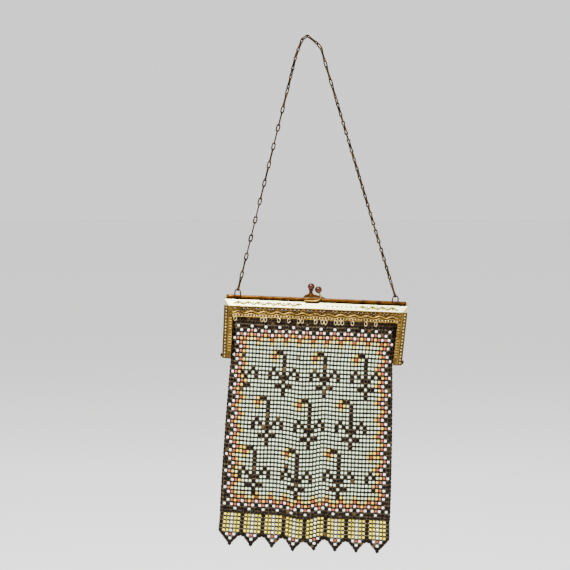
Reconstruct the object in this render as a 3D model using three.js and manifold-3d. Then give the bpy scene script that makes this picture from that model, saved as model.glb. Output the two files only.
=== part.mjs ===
// An enamelled metal mesh purse of the 1920s, hanging by its chain from one point.
// Millimetres, +Z up, the front towards -Y. The origin is where the chain bears on what it hangs from.
// The frame, the clasp and the mesh bag are drawn upright in a frame of their own, with its origin
// in the middle of the frame's top edge, and are then hung below the origin at a slight slope.
import * as THREE from "three";
import { mergeVertices } from "three/addons/utils/BufferGeometryUtils.js";
import Module from "manifold-3d";

const wasm = await Module();
wasm.setup();

// How the frame hangs below the origin.
const hangSlope = 2.4;
const frameMiddleX = 8;
const frameTopDrop = 215.5;

// The two pressed leaves of the frame.
const frameWidth = 150;
const frameHeight = 48.5;
const leafDepth = 5.5;
const seamGap = 0.3;
const leafWall = 1.1;
const topFlat = 2.2;
const bandHeight = 5;
const armBevel = 4.2;
const armWidth = 7.2;
const apronDrop = 13.8;
const apronWall = 0.9;
const rightArmLean = 3;
const footHeight = 4.5;

// The openwork and the raised wave on each apron, and the raised strip down each arm's inner side.
const ornamentRepeats = 13;
const waveHeight = 1.6;
const waveBand = 1.1;
const waveProud = 0.5;
const stripProud = 0.4;
const stripWidth = 2.6;

// The rail on the rear leaf and the oval rings that go round it.
const railInset = 1.75;
const railHeight = 3.4;
const railDepth = 2;
const railSides = 8;
const ringInset = 10.7;
const ringWire = 1;
const ringHeight = 8.2;
const ringWidth = 6.4;
const ringTurn = 50;
const ringSeat = 0.4;

// The clasp's two knobs.
const knobDiameter = 5.6;
const rearKnobX = -4.7;
const rearKnobHeight = 12.7;
const frontKnobX = 1.3;
const frontKnobHeight = 10.4;
const strapThickness = 1.2;
const strapWidth = 1.5;

// The hinge pins in the arms' feet.
const pinDiameter = 2;
const pinHeadDiameter = 3.4;
const pinHeadThickness = 1.2;
const pinClearance = 0.2;

// The mesh bag and its pointed fringe.
const clearance = 0.3;
const bagHeight = 161;
const bagBottomWidth = 143;
const bagDepth = 10.6;
const bagWall = 1.2;
const bagFloor = 2;
const foldDepth = 1.6;
const foldSag = 1.7;
const tabCount = 8;
const tabDrop = 16;
const tabPoint = 11.5;
const fringeThickness = 1.5;
const rightEdgeDrawnIn = 3.4;
const rightEdgeSag = 2.2;
const fringeLean = 0.012;
const fringeSpread = 0.045;

// The chain: long links with an eye at each end, and oval rings between them.
const linkWire = 0.84;
const eyeWidth = 2.4;
const waistWidth = 1.15;
const longLinkLength = 11.15;
const shortLinkLength = 5.45;
const linkOverlap = 0.18;
const linkRollSwing = 25;
const linkTwist = 180;
const wireSides = 5;
const ringCorners = 10;
const shortLinkCorners = 8;

// The chain's way over what it hangs from, between its two straight strands.
const CHAIN_TOP = [
  { x: -8.8, z: -15.7 },
  { x: -3.6, z: -2.2 },
  { x: 0, z: 0.9 },
  { x: 4.6, z: -2 },
  { x: 11.6, z: -9.2 },
  { x: 14.8, z: -20.5 },
];

// The hump's outline from its left end: knob diameters along from the knob, rail heights up from the rail.
const HUMP = [
  { along: -1.1, up: 0 },
  { along: 2.2, up: 0 },
  { along: 1.75, up: 0.3 },
  { along: 1.15, up: 0.56 },
  { along: 0.5, up: 0.8 },
  { along: -0.2, up: 0.9 },
  { along: -0.7, up: 0.72 },
  { along: -0.97, up: 0.34 },
];

// The bag's sections, from its mouth down: drop, flare and depth are shares of the bag's own sizes.
const BAG_SECTIONS = [
  { drop: 0, flare: 0, depth: 1 },
  { drop: 0.215, flare: 0, depth: 1.02 },
  { drop: 0.36, flare: 0.3, depth: 1.08 },
  { drop: 0.52, flare: 0.55, depth: 1.06 },
  { drop: 0.68, flare: 0.75, depth: 0.98 },
  { drop: 0.84, flare: 0.92, depth: 0.78 },
  { drop: 0.95, flare: 1, depth: 0.5 },
  { drop: 1, flare: 1, depth: 0.38 },
];

// The mesh's upright folds. Their places and spreads are shares of the half width, and how far they stand
// out and sag are shares of foldDepth and foldSag.
const FOLDS = [
  { at: -0.74, spread: 0.13, out: 0.35, sag: 0.1 },
  { at: -0.42, spread: 0.12, out: -0.4, sag: 0.2 },
  { at: -0.12, spread: 0.1, out: 1.2, sag: -0.9 },
  { at: 0.17, spread: 0.1, out: -0.9, sag: 1 },
  { at: 0.48, spread: 0.13, out: 0.6, sag: 0.1 },
  { at: 0.8, spread: 0.12, out: -0.3, sag: 0.2 },
];

const halfFrame = frameWidth / 2;
const innerHalf = halfFrame - armWidth;
const ringSpread = halfFrame - ringInset;
const railMiddleY = seamGap / 2 + railDepth / 2;
const ringReach = (ringWidth / 2) * Math.cos(THREE.MathUtils.degToRad(ringTurn)) + ringWire / 2 + clearance;
const bagTop = -apronDrop - clearance;
const bagTopHalf = innerHalf - clearance;
const bagBottom = bagTop - bagHeight;

// Joining and cutting of closed meshes.
function solidFrom(geometry) {
  const bare = geometry.index ? geometry.toNonIndexed() : geometry.clone();
  bare.deleteAttribute("normal");
  bare.deleteAttribute("uv");
  const merged = mergeVertices(bare, 1e-4);
  return new wasm.Manifold(
    new wasm.Mesh({
      numProp: 3,
      vertProperties: new Float32Array(merged.attributes.position.array),
      triVerts: new Uint32Array(merged.index.array),
    }),
  );
}

function geometryFrom(solid) {
  const mesh = solid.getMesh();
  const geometry = new THREE.BufferGeometry();
  geometry.setAttribute("position", new THREE.Float32BufferAttribute(mesh.vertProperties, 3));
  geometry.setIndex([...mesh.triVerts]);
  geometry.computeVertexNormals();
  return geometry;
}

function joined(solids) {
  return solids.reduce((whole, next) => whole.add(next));
}

function cutAway(body, tools) {
  return tools.reduce((rest, tool) => rest.subtract(tool), body);
}

// A closed mesh from corner points and faces of any number of corners, listed anticlockwise from outside.
function polyhedron(points, faces) {
  const triangles = faces.flatMap((face) =>
    face.slice(2).map((corner, i) => [face[0], face[i + 1], corner]),
  );
  const geometry = new THREE.BufferGeometry();
  geometry.setAttribute("position", new THREE.Float32BufferAttribute(points.flat(), 3));
  geometry.setIndex(triangles.flat());
  return geometry.toNonIndexed();
}

// A solid through upright rectangles, one behind the other, from the front (lowest y) to the rear.
function rectangleLoft(sections) {
  const points = sections.flatMap(({ y, left, right, bottom, top }) => [
    [left, y, bottom],
    [right, y, bottom],
    [right, y, top],
    [left, y, top],
  ]);
  const last = (sections.length - 1) * 4;
  const faces = [
    [0, 1, 2, 3],
    [last + 3, last + 2, last + 1, last],
  ];
  for (let base = 0; base < last; base += 4) {
    for (let side = 0; side < 4; side += 1) {
      const next = (side + 1) % 4;
      faces.push([base + next, base + side, base + side + 4, base + next + 4]);
    }
  }
  return solidFrom(polyhedron(points, faces));
}

function block(left, right, front, rear, bottom, top) {
  return rectangleLoft([
    { y: front, left, right, bottom, top },
    { y: rear, left, right, bottom, top },
  ]);
}

// An upright plate: an outline of [x, z] points, given a thickness from front to rear.
function plate(outline, front, rear) {
  const shape = new THREE.Shape(outline.map(([x, z]) => new THREE.Vector2(x, z)));
  const geometry = new THREE.ExtrudeGeometry(shape, { depth: rear - front, bevelEnabled: false });
  geometry.rotateX(Math.PI / 2);
  geometry.translate(0, rear, 0);
  return solidFrom(geometry);
}

function mirroredToRear(geometry) {
  const turned = geometry.toNonIndexed();
  const position = turned.attributes.position;
  for (let i = 0; i < position.count; i += 3) {
    const [a, b] = [i + 1, i + 2].map((k) => new THREE.Vector3().fromBufferAttribute(position, k));
    position.setXYZ(i + 1, b.x, b.y, b.z);
    position.setXYZ(i + 2, a.x, a.y, a.z);
  }
  for (let i = 0; i < position.count; i += 1) position.setY(i, -position.getY(i));
  turned.deleteAttribute("normal");
  return mergeVertices(turned, 1e-4);
}

// The right arm is bent in towards its foot.
function armLean(x, z) {
  const share = THREE.MathUtils.clamp((x - halfFrame * 0.75) / (halfFrame * 0.15), 0, 1);
  return { right: -rightArmLean * share * Math.max(-z / frameHeight, 0), down: 0 };
}

// The mesh is drawn in towards its right edge, where it also hangs lower, and below it the fringe leans and
// spreads a little.
function meshLean(x, z) {
  const across = x / bagTopHalf;
  const towardsRight = Math.max((across + 1) / 2, 0);
  const below = Math.max(bagBottom - z, 0);
  const drop = THREE.MathUtils.clamp((bagTop - z) / bagHeight, 0, 1);
  return {
    right: below * (fringeSpread * across - fringeLean) - rightEdgeDrawnIn * towardsRight,
    down: rightEdgeSag * towardsRight * drop,
  };
}

function shifted(geometry, shift) {
  const position = geometry.attributes.position;
  for (let i = 0; i < position.count; i += 1) {
    const [x, z] = [position.getX(i), position.getZ(i)];
    const { right, down } = shift(x, z);
    position.setX(i, x + right);
    position.setZ(i, z - down);
  }
  geometry.computeVertexNormals();
  return geometry;
}

// The outside of the front leaf: flat for a little way from the seam, then sloped on three sides.
function leafOutside() {
  const edge = { left: -halfFrame, right: halfFrame, bottom: -frameHeight, top: 0 };
  const face = {
    left: -halfFrame + armBevel,
    right: halfFrame - armBevel,
    bottom: -frameHeight,
    top: -bandHeight,
  };
  return rectangleLoft([
    { y: -leafDepth, ...face },
    { y: -topFlat, ...edge },
    { y: -seamGap / 2, ...edge },
  ]);
}

// The hollow behind the sloped band and the apron, open to the seam and downwards.
function throatHollow() {
  const side = { left: -innerHalf, right: innerHalf, bottom: -frameHeight };
  return rectangleLoft([
    { y: -leafDepth + apronWall, ...side, top: -bandHeight },
    { y: -topFlat, ...side, top: -leafWall },
    { y: 0, ...side, top: -leafWall },
  ]);
}

function armHollow(side) {
  const inner = innerHalf + leafWall;
  const outer = halfFrame - leafWall;
  const face = halfFrame - armBevel;
  const ends = { bottom: -frameHeight + footHeight, top: -bandHeight - leafWall };
  const section = (y, far) => {
    const edges = [side * inner, side * far];
    return { y, ...ends, left: Math.min(...edges), right: Math.max(...edges) };
  };
  return rectangleLoft([
    section(-leafDepth + leafWall, face),
    section(-topFlat, outer),
    section(0, outer),
  ]);
}

// The slot that a chain ring hangs in: how far it reaches from the seam into a leaf, and its top.
function ringSlot(side, front, rear, top) {
  const half = ringWidth / 2;
  const middle = side * ringSpread;
  return block(middle - half, middle + half, front, rear, -ringWire * 2.2, top);
}

function pinHole() {
  return roundBar(pinDiameter / 2 + pinClearance, -frameWidth, frameWidth, 8);
}

// A round bar along X at the hinge line.
function roundBar(radius, left, right, sides) {
  const geometry = new THREE.CylinderGeometry(radius, radius, right - left, sides);
  geometry.rotateZ(Math.PI / 2);
  geometry.translate((left + right) / 2, 0, -frameHeight + footHeight / 2);
  return solidFrom(geometry);
}

// One repeat of the apron's openwork: places and sizes are shares of the repeat and of the apron.
const OPENWORK = [
  { at: 0.5, down: 0.52, wide: 0.26, tall: 0.24 },
  { at: 0.15, down: 0.25, wide: 0.2, tall: 0.28 },
  { at: 0.85, down: 0.25, wide: 0.2, tall: 0.28 },
];

function openwork() {
  const apronTall = apronDrop - bandHeight;
  const repeat = (2 * innerHalf) / ornamentRepeats;
  const holes = [];
  for (let k = 0; k < ornamentRepeats; k += 1) {
    for (const { at, down, wide, tall } of OPENWORK) {
      const x = -innerHalf + (k + at) * repeat;
      const z = -bandHeight - down * apronTall;
      const [a, b] = [(wide * repeat) / 2, (tall * apronTall) / 2];
      if (x - a < -innerHalf) continue;
      const outline = [[x - a, z], [x, z - b], [x + a, z], [x, z + b]];
      holes.push(plate(outline, -leafDepth * 2, 0));
    }
  }
  return holes;
}

// The raised wave along the apron, with its crests between the upper openings.
function wave() {
  const steps = ornamentRepeats * 2;
  const middle = -bandHeight - (apronDrop - bandHeight) * 0.5;
  const line = (offset) =>
    Array.from({ length: steps + 1 }, (_, i) => {
      const x = -innerHalf + (2 * innerHalf * i) / steps;
      return [x, middle - (waveHeight * Math.cos(Math.PI * i)) / 2 + offset];
    });
  const outline = [...line(-waveBand / 2), ...line(waveBand / 2).reverse()];
  return plate(outline, -leafDepth - waveProud, -leafDepth + apronWall / 2);
}

// The raised strip down the inner side of an arm.
function armStrip(side) {
  const edges = [innerHalf, innerHalf + stripWidth].map((x) => side * x);
  const top = -apronDrop;
  const foot = -frameHeight + footHeight;
  const rear = -leafDepth + leafWall / 2;
  return block(Math.min(...edges), Math.max(...edges), -leafDepth - stripProud, rear, foot, top);
}

function leafSolid(slotReach) {
  const window = block(-innerHalf, innerHalf, -leafDepth * 2, leafDepth, -frameHeight * 2, -apronDrop);
  const slots = [-1, 1].map((side) => ringSlot(side, -slotReach, 0, leafWall));
  const hollows = [throatHollow(), armHollow(-1), armHollow(1), window, pinHole()];
  const shell = cutAway(leafOutside(), [...hollows, ...slots]);
  const relief = [wave(), armStrip(-1), armStrip(1)];
  return cutAway(joined([shell, ...relief]), openwork());
}

function frontLeafSolid() {
  return leafSolid(ringReach - railMiddleY);
}

// The rail that stands on the rear leaf: a rounded bar along its whole width.
function rail() {
  const length = frameWidth - 2 * railInset;
  const geometry = new THREE.CylinderGeometry(0.5, 0.5, length, railSides);
  geometry.rotateY(Math.PI / railSides);
  geometry.rotateZ(Math.PI / 2);
  geometry.scale(1, railDepth, railHeight + leafWall / 3);
  geometry.translate(0, railMiddleY, (railHeight - leafWall / 3) / 2);
  return solidFrom(geometry);
}

function rearLeafSolid() {
  const reach = ringReach + railMiddleY;
  const leaf = solidFrom(mirroredToRear(geometryFrom(leafSolid(reach)))).add(rail());
  return cutAway(leaf, [-1, 1].map((side) => ringSlot(side, 0, reach, ringSeat)));
}

function ball(diameter, x, y, z) {
  const geometry = new THREE.SphereGeometry(diameter / 2, 12, 8);
  geometry.rotateX(Math.PI / 2);
  geometry.translate(x, y, z);
  return solidFrom(geometry);
}

// The front knob's strap lies on the front leaf, turns up at its right end and carries the knob.
function frontKnobSolid() {
  const y = -topFlat / 2 - clearance;
  const base = clearance + strapThickness / 2;
  const rise = frontKnobHeight - base;
  const way = new THREE.CatmullRomCurve3([
    new THREE.Vector3(frontKnobX - 10.5, y, base),
    new THREE.Vector3(frontKnobX - 3.5, y, base),
    new THREE.Vector3(frontKnobX - 0.4, y, base + rise * 0.08),
    new THREE.Vector3(frontKnobX + 1.2, y, base + rise * 0.3),
    new THREE.Vector3(frontKnobX + 1.2, y * 0.6, base + rise * 0.55),
    new THREE.Vector3(frontKnobX, 0, frontKnobHeight - knobDiameter * 0.3),
  ]);
  const [a, b] = [strapThickness / 2, strapWidth / 2];
  const section = new THREE.Shape([
    new THREE.Vector2(-a, -b),
    new THREE.Vector2(a, -b),
    new THREE.Vector2(a, b),
    new THREE.Vector2(-a, b),
  ]);
  const strap = new THREE.ExtrudeGeometry(section, { steps: 11, extrudePath: way, bevelEnabled: false });
  return solidFrom(strap).add(ball(knobDiameter, frontKnobX, 0, frontKnobHeight));
}

// The rear knob stands on a low hump along the rail.
function rearKnobSolid() {
  const seat = railHeight + clearance;
  const neckTop = rearKnobHeight - knobDiameter * 0.3;
  const humpTop = seat + railHeight * Math.max(...HUMP.map(({ up }) => up));
  const middleY = seamGap / 2 + railDepth / 2;
  const outline = HUMP.map(({ along, up }) => [rearKnobX + along * knobDiameter, seat + up * railHeight]);
  const hump = plate(outline, seamGap / 2, seamGap / 2 + railDepth);
  const neckLength = neckTop - humpTop + railHeight * 0.3;
  const neck = new THREE.CylinderGeometry(knobDiameter * 0.2, knobDiameter * 0.3, neckLength, 8);
  neck.rotateX(Math.PI / 2);
  neck.translate(rearKnobX, middleY * 0.6, neckTop - neckLength / 2);
  return joined([hump, solidFrom(neck), ball(knobDiameter, rearKnobX, 0, rearKnobHeight)]);
}

function hingePinSolid(side) {
  const inner = side * (innerHalf + clearance);
  const outer = side * (halfFrame + clearance);
  const end = side * (halfFrame + clearance + pinHeadThickness);
  const shaft = roundBar(pinDiameter / 2, Math.min(inner, end), Math.max(inner, end), 8);
  const head = roundBar(pinHeadDiameter / 2, Math.min(outer, end), Math.max(outer, end), 10);
  return shaft.add(head);
}

// A closed loop of round wire in its own plane, from [along, across] points.
function wireLoop(points, wireRadius) {
  const corners = [];
  const count = points.length;
  points.forEach(([along, across], i) => {
    const before = points[(i + count - 1) % count];
    const after = points[(i + 1) % count];
    const run = new THREE.Vector2(after[0] - before[0], after[1] - before[1]).normalize();
    for (let k = 0; k < wireSides; k += 1) {
      const turn = (2 * Math.PI * k) / wireSides;
      const out = Math.cos(turn) * wireRadius;
      corners.push([along + run.y * out, across - run.x * out, Math.sin(turn) * wireRadius]);
    }
  });
  const faces = [];
  for (let i = 0; i < count; i += 1) {
    const next = (i + 1) % count;
    for (let k = 0; k < wireSides; k += 1) {
      const up = (k + 1) % wireSides;
      const quad = [i * wireSides + k, next * wireSides + k, next * wireSides + up, i * wireSides + up];
      faces.push(quad);
    }
  }
  return polyhedron(corners, faces);
}

// An oval of wire whose far points lie at 0 and at its length along.
function ovalPoints(length, width, sides) {
  const radius = width / 2;
  const straight = length / 2 - radius;
  return Array.from({ length: sides }, (_, i) => {
    const turn = (2 * Math.PI * (i + 0.5)) / sides;
    const [c, s] = [Math.cos(turn), Math.sin(turn)];
    const reach = radius / Math.cos(Math.PI / sides);
    return [length / 2 + Math.sign(c) * straight + c * reach, s * reach];
  });
}

// A long link: an eye at each end, and two wires close together between them.
function longLinkPoints(length) {
  const eye = eyeWidth / 2;
  const waist = waistWidth / 2;
  const side = [
    [0, eye * 0.5],
    [eye * 0.95, eye],
    [eye * 2.5, waist],
  ];
  const up = [...side, ...side.map(([a, w]) => [length - a, w]).reverse()];
  const down = up.map(([a, w]) => [a, -w]).reverse();
  return [...up, ...down];
}

// Where a point of the upright frame lies once the purse hangs.
const slope = THREE.MathUtils.degToRad(hangSlope);
function hung(x, y, z) {
  const point = new THREE.Vector3(x, y, z).applyAxisAngle(new THREE.Vector3(0, 1, 0), slope);
  return point.add(new THREE.Vector3(frameMiddleX, 0, -frameTopDrop));
}

// The rings hang from the seats under the rail, and the chain's end links hang on the rings.
const barelyApart = clearance / 3;
const ringMiddleZ = ringSeat - ringWire / 2 - barelyApart + ringHeight / 2;
const chainReach = ringMiddleZ + ringHeight / 2 - (ringWire + linkWire) / 2 - barelyApart;

function ringSolid(side) {
  const geometry = wireLoop(ovalPoints(ringHeight, ringWidth, ringCorners), ringWire / 2);
  const turn = THREE.MathUtils.degToRad(side * ringTurn);
  const place = new THREE.Matrix4().makeBasis(
    new THREE.Vector3(0, 0, 1),
    new THREE.Vector3(Math.sin(turn), Math.cos(turn), 0),
    new THREE.Vector3(-Math.cos(turn), Math.sin(turn), 0),
  );
  geometry.applyMatrix4(place);
  geometry.translate(side * ringSpread, railMiddleY, ringMiddleZ - ringHeight / 2);
  return solidFrom(geometry);
}

// The chain's middle line: up the left strand, over the top and down the right one.
function chainLine() {
  const over = CHAIN_TOP.map(({ x, z }) => new THREE.Vector3(x, 0, z));
  const start = hung(-ringSpread, railMiddleY, chainReach);
  const end = hung(ringSpread, railMiddleY, chainReach);
  const path = new THREE.CurvePath();
  path.add(new THREE.LineCurve3(start, over[0]));
  path.add(new THREE.CatmullRomCurve3(over));
  path.add(new THREE.LineCurve3(over[over.length - 1], end));
  return path;
}

// Joint points along the samples of a line, each a link's length times the stretch from the last one, or
// null where the line is too short for them.
function jointsAlong(samples, lengths, stretch) {
  const joints = [samples[0]];
  let at = 0;
  for (const length of lengths) {
    const last = joints[joints.length - 1];
    while (samples[at].distanceTo(last) < length * stretch) {
      at += 1;
      if (at === samples.length) return null;
    }
    joints.push(samples[at]);
  }
  return joints;
}

// Alternate long and short links whose joints just span the line.
function chainJoints() {
  const line = chainLine();
  const samples = line.getSpacedPoints(4000);
  const hold = linkWire - linkOverlap;
  const repeats = Math.round(line.getLength() / (longLinkLength + shortLinkLength - 2 * hold));
  const last = 2 * repeats - 2;
  const lengths = [];
  for (let i = 0; i <= last; i += 1) {
    const isLong = i % 2 === 0;
    const isEnd = i === 0 || i === last;
    const length = isLong ? longLinkLength : shortLinkLength;
    lengths.push(length - (isEnd ? hold / 2 : hold));
  }
  let [low, high] = [0.8, 1.2];
  for (let i = 0; i < 40; i += 1) {
    const middle = (low + high) / 2;
    if (jointsAlong(samples, lengths, middle)) low = middle;
    else high = middle;
  }
  return jointsAlong(samples, lengths, low);
}

function chainSolid() {
  const joints = chainJoints();
  const hold = linkWire - linkOverlap;
  const links = [];
  for (let i = 0; i < joints.length - 1; i += 1) {
    const [from, to] = [joints[i], joints[i + 1]];
    const along = to.clone().sub(from).normalize();
    const startHold = i === 0 ? 0 : hold / 2;
    const endHold = i === joints.length - 2 ? 0 : hold / 2;
    const length = from.distanceTo(to) + startHold + endHold;
    const isLong = i % 2 === 0;
    const outline = isLong ? longLinkPoints(length) : ovalPoints(length, eyeWidth, shortLinkCorners);
    const share = i / (joints.length - 2);
    const roll = ringTurn + 90 * i + linkTwist * share + linkRollSwing * Math.sin(6 * Math.PI * share);
    const flat = new THREE.Vector3(0, 1, 0).cross(along).normalize();
    const across = flat.applyAxisAngle(along, THREE.MathUtils.degToRad(roll));
    const normal = along.clone().cross(across);
    const place = new THREE.Matrix4().makeBasis(along, across, normal);
    place.setPosition(from.clone().addScaledVector(along, -startHold));
    links.push(solidFrom(wireLoop(outline, linkWire / 2).applyMatrix4(place)));
  }
  return joined(links);
}

// Half of the bag's width, and how its folds stand out and how its rows sag, for a place on it.
function bagHalfWidth(flare) {
  return bagTopHalf + (bagBottomWidth / 2 - bagTopHalf) * flare;
}

function foldSum(share, key) {
  const near = ({ at, spread }) => Math.exp(-(((share - at) / spread) ** 2));
  return FOLDS.reduce((sum, fold) => sum + fold[key] * near(fold), 0);
}

function sagAt(x, halfWidth) {
  return foldSag * foldSum(x / halfWidth, "sag");
}

const bagSteps = 18;

// The share of the half width at which each step across the bag lies: closer together at the edges.
function stepShare(i) {
  const t = i / bagSteps;
  return 0.6 * (2 * t - 1) + 0.4 * Math.sin(Math.PI * (t - 0.5));
}

// One closed line round the bag, from its left edge along the front to the right and back along the rear.
function bagLoop({ drop, flare, depth }, inset, lift) {
  const halfWidth = bagHalfWidth(flare) - inset;
  const halfDepth = (bagDepth * depth) / 2 - inset;
  const points = [];
  for (let i = 0; i < 2 * bagSteps; i += 1) {
    const rear = i > bagSteps;
    const share = stepShare(rear ? 2 * bagSteps - i : i);
    const x = share * halfWidth;
    const edge = Math.sqrt(Math.max(0, 1 - Math.abs(share) ** 5));
    const hang = Math.min(1, drop * 4) * depth;
    const fold = foldDepth * hang * edge * foldSum(share, "out");
    const y = rear ? halfDepth * edge + fold * 0.6 : -halfDepth * edge - fold;
    const z = bagTop - bagHeight * drop + sagAt(x, halfWidth) * drop + lift;
    points.push([x, y, z]);
  }
  return points;
}

function bagSolid() {
  const ring = 2 * bagSteps;
  const outside = BAG_SECTIONS.map((section) => bagLoop(section, 0, 0));
  const inside = BAG_SECTIONS.map((section, i) =>
    bagLoop(section, bagWall, i === BAG_SECTIONS.length - 1 ? bagFloor : 0),
  );
  const levels = BAG_SECTIONS.length;
  const points = [...outside, ...inside].flat();
  const at = (inner, level, i) => (inner ? levels * ring : 0) + level * ring + (i % ring);
  const faces = [];
  const quad = (a, b, c, d) => faces.push([a, b, c], [a, c, d]);
  for (let level = 0; level < levels - 1; level += 1) {
    for (let i = 0; i < ring; i += 1) {
      quad(at(0, level, i + 1), at(0, level, i), at(0, level + 1, i), at(0, level + 1, i + 1));
      quad(at(1, level, i), at(1, level, i + 1), at(1, level + 1, i + 1), at(1, level + 1, i));
    }
  }
  for (let i = 0; i < ring; i += 1) quad(at(0, 0, i), at(0, 0, i + 1), at(1, 0, i + 1), at(1, 0, i));
  for (let i = 0; i < bagSteps; i += 1) {
    const corners = [...new Set([i, i + 1, ring - i - 1, (ring - i) % ring])];
    for (const inner of [0, 1]) {
      const floor = corners.map((k) => at(inner, levels - 1, k));
      faces.push(inner ? floor : floor.reverse());
    }
  }
  return mergeVertices(polyhedron(points, faces), 1e-4);
}

// The fringe: one thickness of mesh below the bag, cut into points.
function fringeOutline() {
  const halfWidth = bagBottomWidth / 2;
  const tab = bagBottomWidth / tabCount;
  const top = [];
  for (let i = bagSteps; i >= 0; i -= 1) {
    const x = halfWidth * stepShare(i);
    top.push([x, bagBottom - clearance + sagAt(x, halfWidth)]);
  }
  const low = bagBottom - tabDrop;
  const bottom = [[-halfWidth, low + tabPoint * 0.1]];
  for (let k = 0; k < tabCount; k += 1) {
    const tip = -halfWidth + (k + 0.5) * tab;
    const notch = tip + tab / 2;
    bottom.push([tip, low - tabPoint + sagAt(tip, halfWidth)]);
    if (k < tabCount - 1) bottom.push([notch, low - tabPoint * 0.17 + sagAt(notch, halfWidth)]);
  }
  bottom.push([halfWidth, low + tabPoint * 0.1]);
  return [...bottom, ...top];
}

function fringeSolid() {
  return plate(fringeOutline(), -fringeThickness / 2, fringeThickness / 2);
}

// Materials and the assembly.
const gilt = new THREE.MeshStandardMaterial({ color: 0xb08d3c, roughness: 0.35, metalness: 1 });
const copper = new THREE.MeshStandardMaterial({ color: 0xa8703a, roughness: 0.3, metalness: 1 });
const chainGilt = new THREE.MeshStandardMaterial({ color: 0x9a7b45, roughness: 0.35, metalness: 1 });
const enamel = new THREE.MeshStandardMaterial({ color: 0xcfe0d4, roughness: 0.3, metalness: 0.2 });
const fringeEnamel = new THREE.MeshStandardMaterial({ color: 0xe4cf6e, roughness: 0.3, metalness: 0.2 });

function piece(name, geometry, material) {
  const mesh = new THREE.Mesh(geometry, material);
  mesh.name = name;
  return mesh;
}

const upright = new THREE.Group();
upright.rotation.y = slope;
upright.position.set(frameMiddleX, 0, -frameTopDrop);
upright.add(
  piece("frame_leaf_front", shifted(geometryFrom(frontLeafSolid()), armLean), gilt),
  piece("frame_leaf_rear", shifted(geometryFrom(rearLeafSolid()), armLean), gilt),
  piece("hinge_pin_left", shifted(geometryFrom(hingePinSolid(-1)), armLean), copper),
  piece("hinge_pin_right", shifted(geometryFrom(hingePinSolid(1)), armLean), copper),
  piece("clasp_knob_front", geometryFrom(frontKnobSolid()), copper),
  piece("clasp_knob_rear", geometryFrom(rearKnobSolid()), copper),
  piece("chain_ring_left", geometryFrom(ringSolid(-1)), chainGilt),
  piece("chain_ring_right", geometryFrom(ringSolid(1)), chainGilt),
  piece("mesh_bag", shifted(bagSolid(), meshLean), enamel),
  piece("mesh_fringe", shifted(geometryFrom(fringeSolid()), meshLean), fringeEnamel),
);

const purse = new THREE.Group();
purse.add(upright, piece("handle_chain", geometryFrom(chainSolid()), chainGilt));

export default purse;
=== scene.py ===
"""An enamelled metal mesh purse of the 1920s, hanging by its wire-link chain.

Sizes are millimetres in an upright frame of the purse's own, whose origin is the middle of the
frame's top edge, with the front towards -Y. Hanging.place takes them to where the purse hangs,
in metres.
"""

from __future__ import annotations

import logging
import math
import random
from collections.abc import Callable, Iterable, Mapping, Sequence
from dataclasses import dataclass
from enum import Enum

import bmesh
import bpy
from mathutils import Matrix, Vector, noise

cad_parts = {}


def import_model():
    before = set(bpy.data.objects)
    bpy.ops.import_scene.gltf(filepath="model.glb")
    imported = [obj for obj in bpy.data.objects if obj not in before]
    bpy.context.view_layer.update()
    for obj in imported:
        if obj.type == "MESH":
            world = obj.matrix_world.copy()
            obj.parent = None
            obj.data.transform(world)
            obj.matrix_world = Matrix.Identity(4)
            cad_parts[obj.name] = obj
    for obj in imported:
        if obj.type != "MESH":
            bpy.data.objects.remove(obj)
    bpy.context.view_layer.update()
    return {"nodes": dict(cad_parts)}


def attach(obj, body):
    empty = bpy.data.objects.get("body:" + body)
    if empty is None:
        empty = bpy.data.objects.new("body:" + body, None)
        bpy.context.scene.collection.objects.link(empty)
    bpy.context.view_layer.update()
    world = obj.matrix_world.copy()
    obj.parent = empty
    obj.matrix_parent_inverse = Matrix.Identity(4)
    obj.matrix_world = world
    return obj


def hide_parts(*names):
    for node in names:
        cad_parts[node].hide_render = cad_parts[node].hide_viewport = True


MM = 0.001
BODY = "root"
LOG = logging.getLogger("purse")


# Where the upright frame hangs, and how the frame and the bag are formed


@dataclass(frozen=True)
class Hanging:
    """How the upright frame hangs below the point that holds the chain."""

    slope: float = math.radians(2.4)
    middle_x: float = 8.0
    drop: float = 215.5

    def turn(self, way: Vector) -> Vector:
        """Gives the hung direction of an upright one.

        Args:
            way: A direction in the upright frame.

        Returns:
            The same direction once the purse hangs.
        """
        return Matrix.Rotation(self.slope, 3, "Y") @ way

    def place(self, x: float, y: float, z: float) -> Vector:
        """Gives the place in metres of an upright point in millimetres.

        Args:
            x: To the right of the frame's middle.
            y: To the rear of the seam between the leaves.
            z: Up from the frame's top edge.

        Returns:
            The hung point in metres.
        """
        return (self.turn(Vector((x, y, z))) + Vector((self.middle_x, 0, -self.drop))) * MM


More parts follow.
